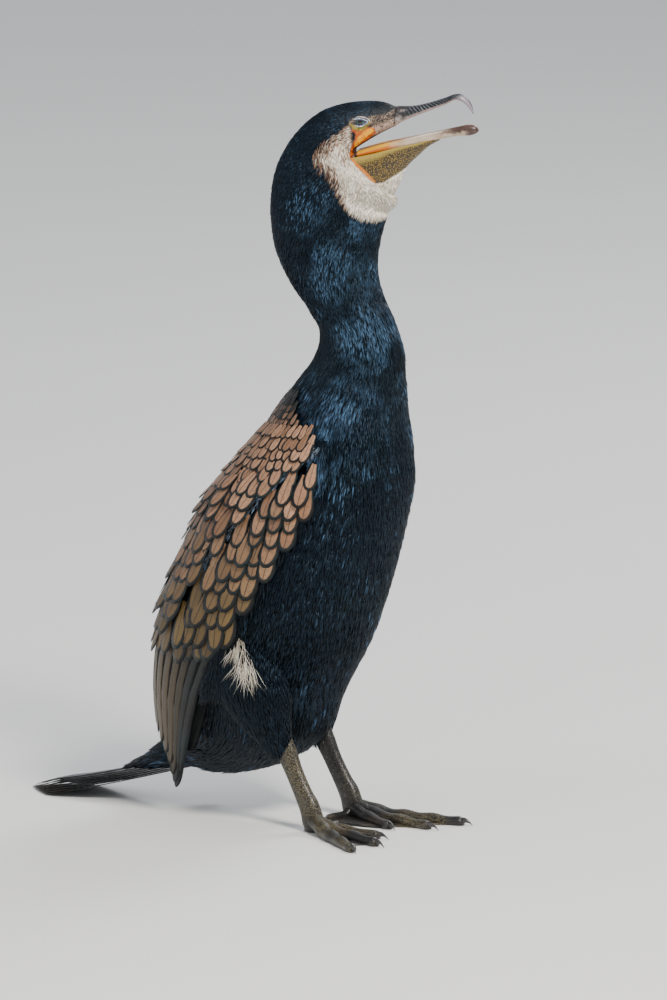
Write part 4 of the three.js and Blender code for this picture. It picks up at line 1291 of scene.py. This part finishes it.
def pouch_drawn(along, angle, down, lift=0):
    """Drawing points of the pouch, before the head is turned: angle goes round it, down from edge to keel."""
    upper_x, upper_z, low_x, low_z, wide = np.moveaxis(spline(POUCH_FORM, along), -1, 0)
    down = down * (1 + lift / np.hypot(low_x - upper_x, low_z - upper_z))
    return np.stack([
        upper_x + (low_x - upper_x) * down, (wide + lift) * np.cos(angle), upper_z + (low_z - upper_z) * down,
    ], axis=-1)


def on_pouch(along, degrees, lift=0):
    """Places on the pouch: 0 and 180 degrees are its upper edges and 90 is its keel."""
    angle = np.radians(degrees)
    return turned(pouch_drawn(along, angle, np.sin(angle), lift))


POUCH_ROWS, POUCH_OUTER, POUCH_INNER = 140, 75, 21  # rows, and steps round its outside and its upper side
station, round_it = np.meshgrid(
    np.linspace(0, len(POUCH_FORM) - 1, POUCH_ROWS), np.arange(POUCH_OUTER + POUCH_INNER), indexing="ij",
)
outside = round_it <= POUCH_OUTER
angle = np.where(
    outside, np.pi * round_it / POUCH_OUTER, np.pi * (1 - (round_it - POUCH_OUTER) / POUCH_INNER),
)
down = np.where(outside, np.sin(angle), 0.08 * np.sin(angle))
pouch_points = pouch_drawn(station, angle, down)
pouch_mesh = ringed(in_frame(turned(pouch_points)), "pouch")
mark_rings(pouch_mesh, "down", down)
for name, outline, soft in (("white", POUCH_WHITE, 0.5), ("orange", POUCH_ORANGE, 0.6)):
    mark_rings(pouch_mesh, name, inside(outline, pouch_points[..., 0], pouch_points[..., 2], soft))
pouch_skin = Finish("pouch_skin", roughness=0.42, coat_weight=0.2, coat_roughness=0.25)
grain = pouch_skin.node("TexVoronoi", {}, Vector=pouch_skin.places(), Scale=1150.0, Randomness=0.75)
drift = pouch_skin.noise(90.0, 3)
grains = 1 - (grain + drift * 0.12).ease(0.30, 0.46)
down = pouch_skin.stored("down")
ground = drift.blend((0.012, 0.008, 0.003), (0.035, 0.020, 0.005))
gold = drift.blend((0.34, 0.20, 0.015), (0.60, 0.40, 0.05))
colour = grains.blend(ground, gold)
band = 1 - (down + drift * 0.12).ease(0.10, 0.30)
colour = (band * 0.8).blend(colour, (0.42, 0.30, 0.05))
rim = drift.blend((0.45, 0.10, 0.004), (0.70, 0.24, 0.012))
colour = pouch_skin.stored("orange").blend(colour, rim)
pouch_skin.set(base_color=pouch_skin.stored("white").blend(colour, (0.50, 0.44, 0.35)))
pouch_skin.bump(grains, 0.6, 0.0007)
gular_pouch = add_object("pouch", pouch_mesh, pouch_skin.material)
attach(gular_pouch, "root")
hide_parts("gular_pouch")

THROAT_PLUME, THROAT_GAP = (1.2, 5.2, 2.4), 1.15
stations, angles = scatter(on_pouch, (1.0, len(POUCH_FORM) - 1.05), lambda s: THROAT_GAP, rng)
drawn = pouch_drawn(stations, np.radians(angles), np.sin(np.radians(angles)))
white = inside(POUCH_WHITE, drawn[:, 0], drawn[:, 2], 0.6)
kept = (angles < 180) & (white > 0.5)
stations, angles = stations[kept], angles[kept]
sizes = np.tile(THROAT_PLUME, (len(stations), 1))
root = np.stack([angles / 180, stations / (len(POUCH_FORM) - 1), 0 * angles], axis=-1)
plant_coat("throat_plumes", feather_bed(
    on_pouch, stations, angles, sizes, root, rng,
    tip_up=9, sink=0.3, white=rng.uniform(0.75, 1, len(stations)),
), 14)


# Eyes: glossy balls with an emerald iris, set a little into the head, each between two dark lids that reach
# from the opening over the ball down to the skin. A ring of small blue-white beads sits on the lids, and the
# lower lid is olive at its edge.
PUPIL_RIM, IRIS_RIM = (22.0, 26.0), (46.0, 52.0)  # degrees from the middle of the eye
BALL_RADIUS, BALL_IN = 5.4, 0.6  # the ball's middle is set in from the eye's place
LID_OPENING = (-0.9, -0.1, 4.7, 1.8)  # middle, from the eye's own, and half axes
LID_EDGE = (-0.2, -0.2, 8.4, 5.1)
LID_TILT, LID_BULGE, LID_THICK = math.radians(-3), 0.9, 1.3
BEADS, BEAD_HALF, BEAD_REACH = 34, 0.58, 0.42  # how many, half size, and share of the way to the skin

eye_finish = Finish("eye", roughness=0.04, coat_weight=1.0, coat_roughness=0.02, ior=1.38)
away = eye_finish.stored("away")
rays = eye_finish.noise(900.0, 4)
iris = (away + rays * 8.0).ease(PUPIL_RIM[1], IRIS_RIM[0])
iris = iris.blend((0.004, 0.075, 0.062), (0.001, 0.022, 0.024))
iris = (rays.ease(0.45, 0.75) * 0.4).blend(iris, (0.02, 0.20, 0.15))
iris = away.ease(*IRIS_RIM).blend(iris, (0.010, 0.010, 0.012))
eye_finish.set(base_color=away.ease(*PUPIL_RIM).blend((0.0005, 0.002, 0.002), iris))
for side, word in ((RIGHT, "right"), (LEFT, "left")):
    sweep, turn = ring_grid(2, 178, 60, 48)
    a, b = np.radians(sweep), np.radians(turn)
    local = BALL_RADIUS * np.stack([np.sin(a) * np.cos(b), side * np.cos(a), np.sin(a) * np.sin(b)], axis=-1)
    middle = turned([EYE["x"], side * (EYE["y"] - BALL_IN), EYE["z"]])
    out = local @ np.array(Matrix.Rotation(-HEAD_TURN, 3, "Z"))
    mesh = ringed(in_frame(middle + out), "eyes")
    mark_rings(mesh, "away", sweep)
    ball = add_object(f"eyeball_{word}", mesh, eye_finish.material)
    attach(ball, "root")
    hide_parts(f"eye_{word}")

skin_rows, skin_turns = np.meshgrid(np.linspace(0.2, 4.2, 90), np.linspace(30, 150, 90), indexing="ij")
SKIN_SIDE = on_section(FORM, skin_rows, skin_turns, -coat_depth(skin_rows)).reshape(-1, 3)


def skin_out(x, z):
    """How far the head's skin stands out from its middle plane at a place of the side view."""
    far = (x[..., None] - SKIN_SIDE[:, 0]) ** 2 + (z[..., None] - SKIN_SIDE[:, 2]) ** 2
    near = np.argsort(far, axis=-1)[..., :4]
    weight = 1 / (np.take_along_axis(far, near, axis=-1) + 0.01)
    return (SKIN_SIDE[near, 1] * weight).sum(-1) / weight.sum(-1)


def on_lid(side, turn, reach, lift=0):
    """Places on the lids: turn goes round the eye, and reach from the opening at 0 to the skin at 1."""
    turn = np.radians(turn)
    across, up = np.cos(turn), np.sin(turn) * np.abs(np.sin(turn)) ** 0.3
    middle_x, middle_z, half_x, half_z = (
        inner + (outer - inner) * reach for inner, outer in zip(LID_OPENING, LID_EDGE)
    )
    out, high = middle_x + half_x * across, middle_z + half_z * up
    x = EYE["x"] + out * math.cos(LID_TILT) + high * math.sin(LID_TILT)
    z = EYE["z"] - out * math.sin(LID_TILT) + high * math.cos(LID_TILT)
    from_middle = (x - EYE["x"]) ** 2 + (z - EYE["z"]) ** 2
    ball = EYE["y"] - BALL_IN + np.sqrt(np.maximum(BALL_RADIUS**2 - from_middle, 0)) + 0.3
    over = ball + (skin_out(x, z) - 0.4 - ball) * smooth(reach, 0, 1)
    y = np.maximum(over, ball * (reach < 0.95)) + LID_BULGE * np.sin(np.pi * reach) + lift
    return turned(np.stack([x, side * y, z], axis=-1))


lid_finish = Finish("lid_skin", roughness=0.4, coat_weight=0.2)
mottle = lid_finish.noise(900.0, 3)
reach, lower = lid_finish.stored("reach"), lid_finish.stored("lower")
colour = mottle.blend((0.012, 0.008, 0.020), (0.07, 0.045, 0.10))
olive = mottle.blend((0.10, 0.075, 0.006), (0.42, 0.30, 0.03))
colour = (reach.ease(0.52, 0.68) * lower).blend(colour, olive)
line = reach.ease(0.66, 0.76) * (1 - reach.ease(0.88, 0.96)) * (1 - lower)
lid_finish.set(base_color=line.blend(colour, (0.42, 0.37, 0.30)))
lid_finish.bump(mottle, 0.4, 0.0003)
bead_finish = Finish("lid_beads", roughness=0.3, coat_weight=0.4)
bead_colour = bead_finish.stored("tone").blend((0.26, 0.38, 0.52), (0.62, 0.76, 0.84))
bead_finish.set(base_color=bead_colour)
LID_TURNS, LID_STEPS = 72, 10
rings = []
for side in (RIGHT, LEFT):
    turn, step = np.meshgrid(np.arange(LID_TURNS) * 360 / LID_TURNS, np.arange(2 * LID_STEPS), indexing="ij")
    top = step < LID_STEPS
    reach = np.where(top, step, 2 * LID_STEPS - 1 - step) / (LID_STEPS - 1)
    points = in_frame(on_lid(side, turn, reach, np.where(top, 0, -LID_THICK))).reshape(-1, 3)
    tube = 2 * LID_STEPS
    faces = []
    for i in range(LID_TURNS):
        here, next_one = i * tube, (i + 1) % LID_TURNS * tube
        for k in range(tube):
            after = (k + 1) % tube
            faces.append((here + k, next_one + k, next_one + after, here + after))
    mesh = new_mesh("lids", points, faces)
    mark(mesh, "reach", reach)
    mark(mesh, "lower", smooth(-np.sin(np.radians(turn)), 0.0, 0.3))
    rings.append(add_object("lids", outwards(mesh), lid_finish.material))
lids = joined(rings)
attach(lids, "root")

turn, tilt = np.meshgrid(np.arange(8) * 45, (-55, 0, 55), indexing="xy")
turn, tilt = np.radians(turn), np.radians(tilt)
knobs = np.stack([np.cos(tilt) * np.cos(turn), np.cos(tilt) * np.sin(turn), np.sin(tilt)], axis=-1)
bead_mesh = ringed(knobs, "bead")
bead_mesh.uv_layers.new(name="vane")
BEAD = add_object("bead", bead_mesh)
turns = (np.arange(BEADS) + rng.uniform(-0.15, 0.15, BEADS)) * 360 / BEADS
beds = [{
    "place": on_lid(side, turns, np.full(BEADS, BEAD_REACH), 0.1),
    "turn": np.zeros((BEADS, 3)),
    "size": np.full((BEADS, 3), BEAD_HALF * MM) * rng.uniform(0.75, 1.15, (BEADS, 1)),
    "root": np.stack([turns / 360, np.full(BEADS, 0.25 if side == RIGHT else 0.75), 0 * turns], axis=-1),
    "tone": rng.uniform(0, 1, BEADS),
} for side in (RIGHT, LEFT)]
lid_beads = plant("lid_beads", together(beds), BEAD, bead_finish.material, patch=0.01, seed=31)
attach(lid_beads, "root")


# Shanks, toes and webs: black leathery skin in small many-sided scales, with broad plates over each toe,
# three webs that join all four toes, and a curved claw on each toe. Olive highlights are painted on the
# middles of the scales in patches.
SHANK = [
    ((-17, 33.5, 70), 5.9, 8.2, -0.45), ((-13, 33.5, 60), 6.2, 8.8, -0.45), ((-6, 34, 46), 5.6, 7.8, -0.45),
    ((3, 34.6, 30), 5.8, 8, -0.45), ((9, 35, 20), 6.8, 9, -0.6), ((12, 35, 11.5), 7.2, 9.6, -0.5),
    ((14.2, 35, 5), 7.2, 9.4, -0.1), ((14.5, 35, 0.6), 6.6, 8.8, 0),
]
FOOT_JOINT = (13, 35, 11.5)
TOES = [  # degrees outwards, length, claw, half thickness at root and tip, and number of joints
    (24, 96, 10, 6.4, 3.8, 4), (5, 82, 12, 6.2, 3.7, 3), (-15, 62, 11, 5.8, 3.6, 2),
    (-92, 27, 7, 4.2, 2.8, 1),
]
FOOT_TURN = {RIGHT: 12, LEFT: -12}
WEB_THICK, WEB_SCOOP = 1.6, 0.16  # millimetres, and share that the front edge is scooped back
SCUTE = 3.1  # length of one plate on a toe


def on_foot(side):
    """Places a foot by reach from its joint, degrees outwards, height and millimetres aside."""
    x, y = FOOT_JOINT[0] + LEG_SHIFT[side], side * FOOT_JOINT[1]

    def place(reach, degrees, z, aside=0):
        angle = side * np.radians(degrees + FOOT_TURN[side])
        return np.stack(np.broadcast_arrays(
            x + reach * np.cos(angle) - aside * np.sin(angle),
            y + reach * np.sin(angle) + aside * np.cos(angle),
            z,
        ), axis=-1)
    return place


def toe_rings(place, degrees, length, root, tip, joints):
    """Rings of a toe, thicker at its joints, with plates across its upper side and its sole on the floor."""
    t, turn = ring_grid(0, 1, 90, 20)
    turn = turn + 9
    knuckle = 0.16 * (0.5 + 0.5 * np.cos(2 * np.pi * (t * joints + 0.1))) * smooth(t, 0.1, 0.3)
    half = (root + (tip - root) * t) * (1 + knuckle) * np.where(t > 0.97, 1 - 9 * (t - 0.97), 1)
    over = smooth(np.sin(np.radians(turn)), -0.1, 0.5)
    plates = 0.16 * over * np.abs(np.sin(np.pi * t * length / SCUTE)) ** 0.5
    middle = FOOT_JOINT[2] * 0.8 * (1 - smooth(t, 0, 0.4)) + half * 0.62 * smooth(t, 0, 0.4)
    height = middle + (half + plates) * np.sin(np.radians(turn))
    return place(length * t, degrees, np.maximum(height, 0.15), (half + plates) * np.cos(np.radians(turn)))


def claw_rings(place, degrees, length, reach, tip):
    t, turn = ring_grid(0, 1, 22, 14)
    half = tip * 0.82 * (1 - t) + 0.3 * t
    middle = tip * 0.9 * (1 - t**2) + (half + 0.1) * t**2 + 1.2 * np.sin(np.pi * t)
    return place(
        length - 2 + reach * t, degrees,
        middle + half * np.sin(np.radians(turn)), half * 0.7 * np.cos(np.radians(turn)),
    )


def web_grid(place, one, other, under):
    """Grid of the upper side or the underside of the web between two toes, with a scooped front edge."""
    across, out = np.meshgrid(np.linspace(0, 1, 26), np.linspace(0.06, 1, 40), indexing="ij")
    edge = (one[1] + (other[1] - one[1]) * across) * 0.95 * (1 - WEB_SCOOP * np.sin(np.pi * across))
    degrees = one[0] + (other[0] - one[0]) * across
    sag = WEB_THICK + 1.6 * (1 - np.sin(np.pi * across)) * (1 - out) + 0.22 * np.sin(across * 40 + out * 3)
    return place(edge * out, degrees, 0.1 + 0 * across if under else sag * np.where(out > 0.98, 0.5, 1))


leg_skin = Finish("leg_skin", roughness=0.42, coat_weight=0.2, coat_roughness=0.3)
cells = leg_skin.node("TexVoronoi", {"feature": "DISTANCE_TO_EDGE"}, Vector=leg_skin.places(), Scale=520.0)
plate_part = cells.ease(0.03, 0.16)
patch = leg_skin.noise(22.0, 3)
fine = leg_skin.noise(600.0, 3)
# Painted highlights: in patches the middles of the scales are painted olive over the black.
wear_and_highlight = patch.ease(0.40, 0.62).blend((0.020, 0.018, 0.016), (0.15, 0.12, 0.060))
colour = (plate_part * (0.3 + fine * 0.9)).blend((0.001, 0.001, 0.001), wear_and_highlight)
leg_skin.set(base_color=colour)
leg_skin.bump(plate_part + fine * 0.2, 0.8, 0.0008)
claw_horn = Finish("claw_horn", roughness=0.3, coat_weight=0.3)
streaks = claw_horn.noise(500.0, 3)
claw_horn.set(base_color=streaks.blend((0.008, 0.007, 0.007), (0.05, 0.045, 0.04)))
claw_horn.bump(streaks, 0.3, 0.0003)

for side, word in ((RIGHT, "right"), (LEFT, "left")):
    rings = on_limb(SHANK, side)(*ring_grid(0, len(SHANK) - 1, 120, 40))
    pieces = [add_object("leg", ringed(in_frame(rings), "leg"), leg_skin.material)]
    place = on_foot(side)
    claws = []
    for degrees, length, reach, root, tip, joints in TOES:
        toe = ringed(in_frame(toe_rings(place, degrees, length, root, tip, joints)), "toe")
        claw = ringed(in_frame(claw_rings(place, degrees, length, reach, tip)), "claw")
        pieces.append(add_object("toe", toe, leg_skin.material))
        claws.append(add_object("claw", claw, claw_horn.material))
    for one, other in zip(TOES, TOES[1:]):
        top, sole = (in_frame(web_grid(place, one, other, under)) for under in (False, True))
        pieces.append(add_object("web", slab("web", top, sole), leg_skin.material))
    for group, name in ((pieces, f"leg_{word}"), (claws, f"claws_{word}")):
        piece = joined(group)
        piece.name = name
        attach(piece, "root")
    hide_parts(f"shank_{word}", f"foot_{word}")

for form in (PLUME, COVERT, BEAD):
    bpy.data.objects.remove(form)
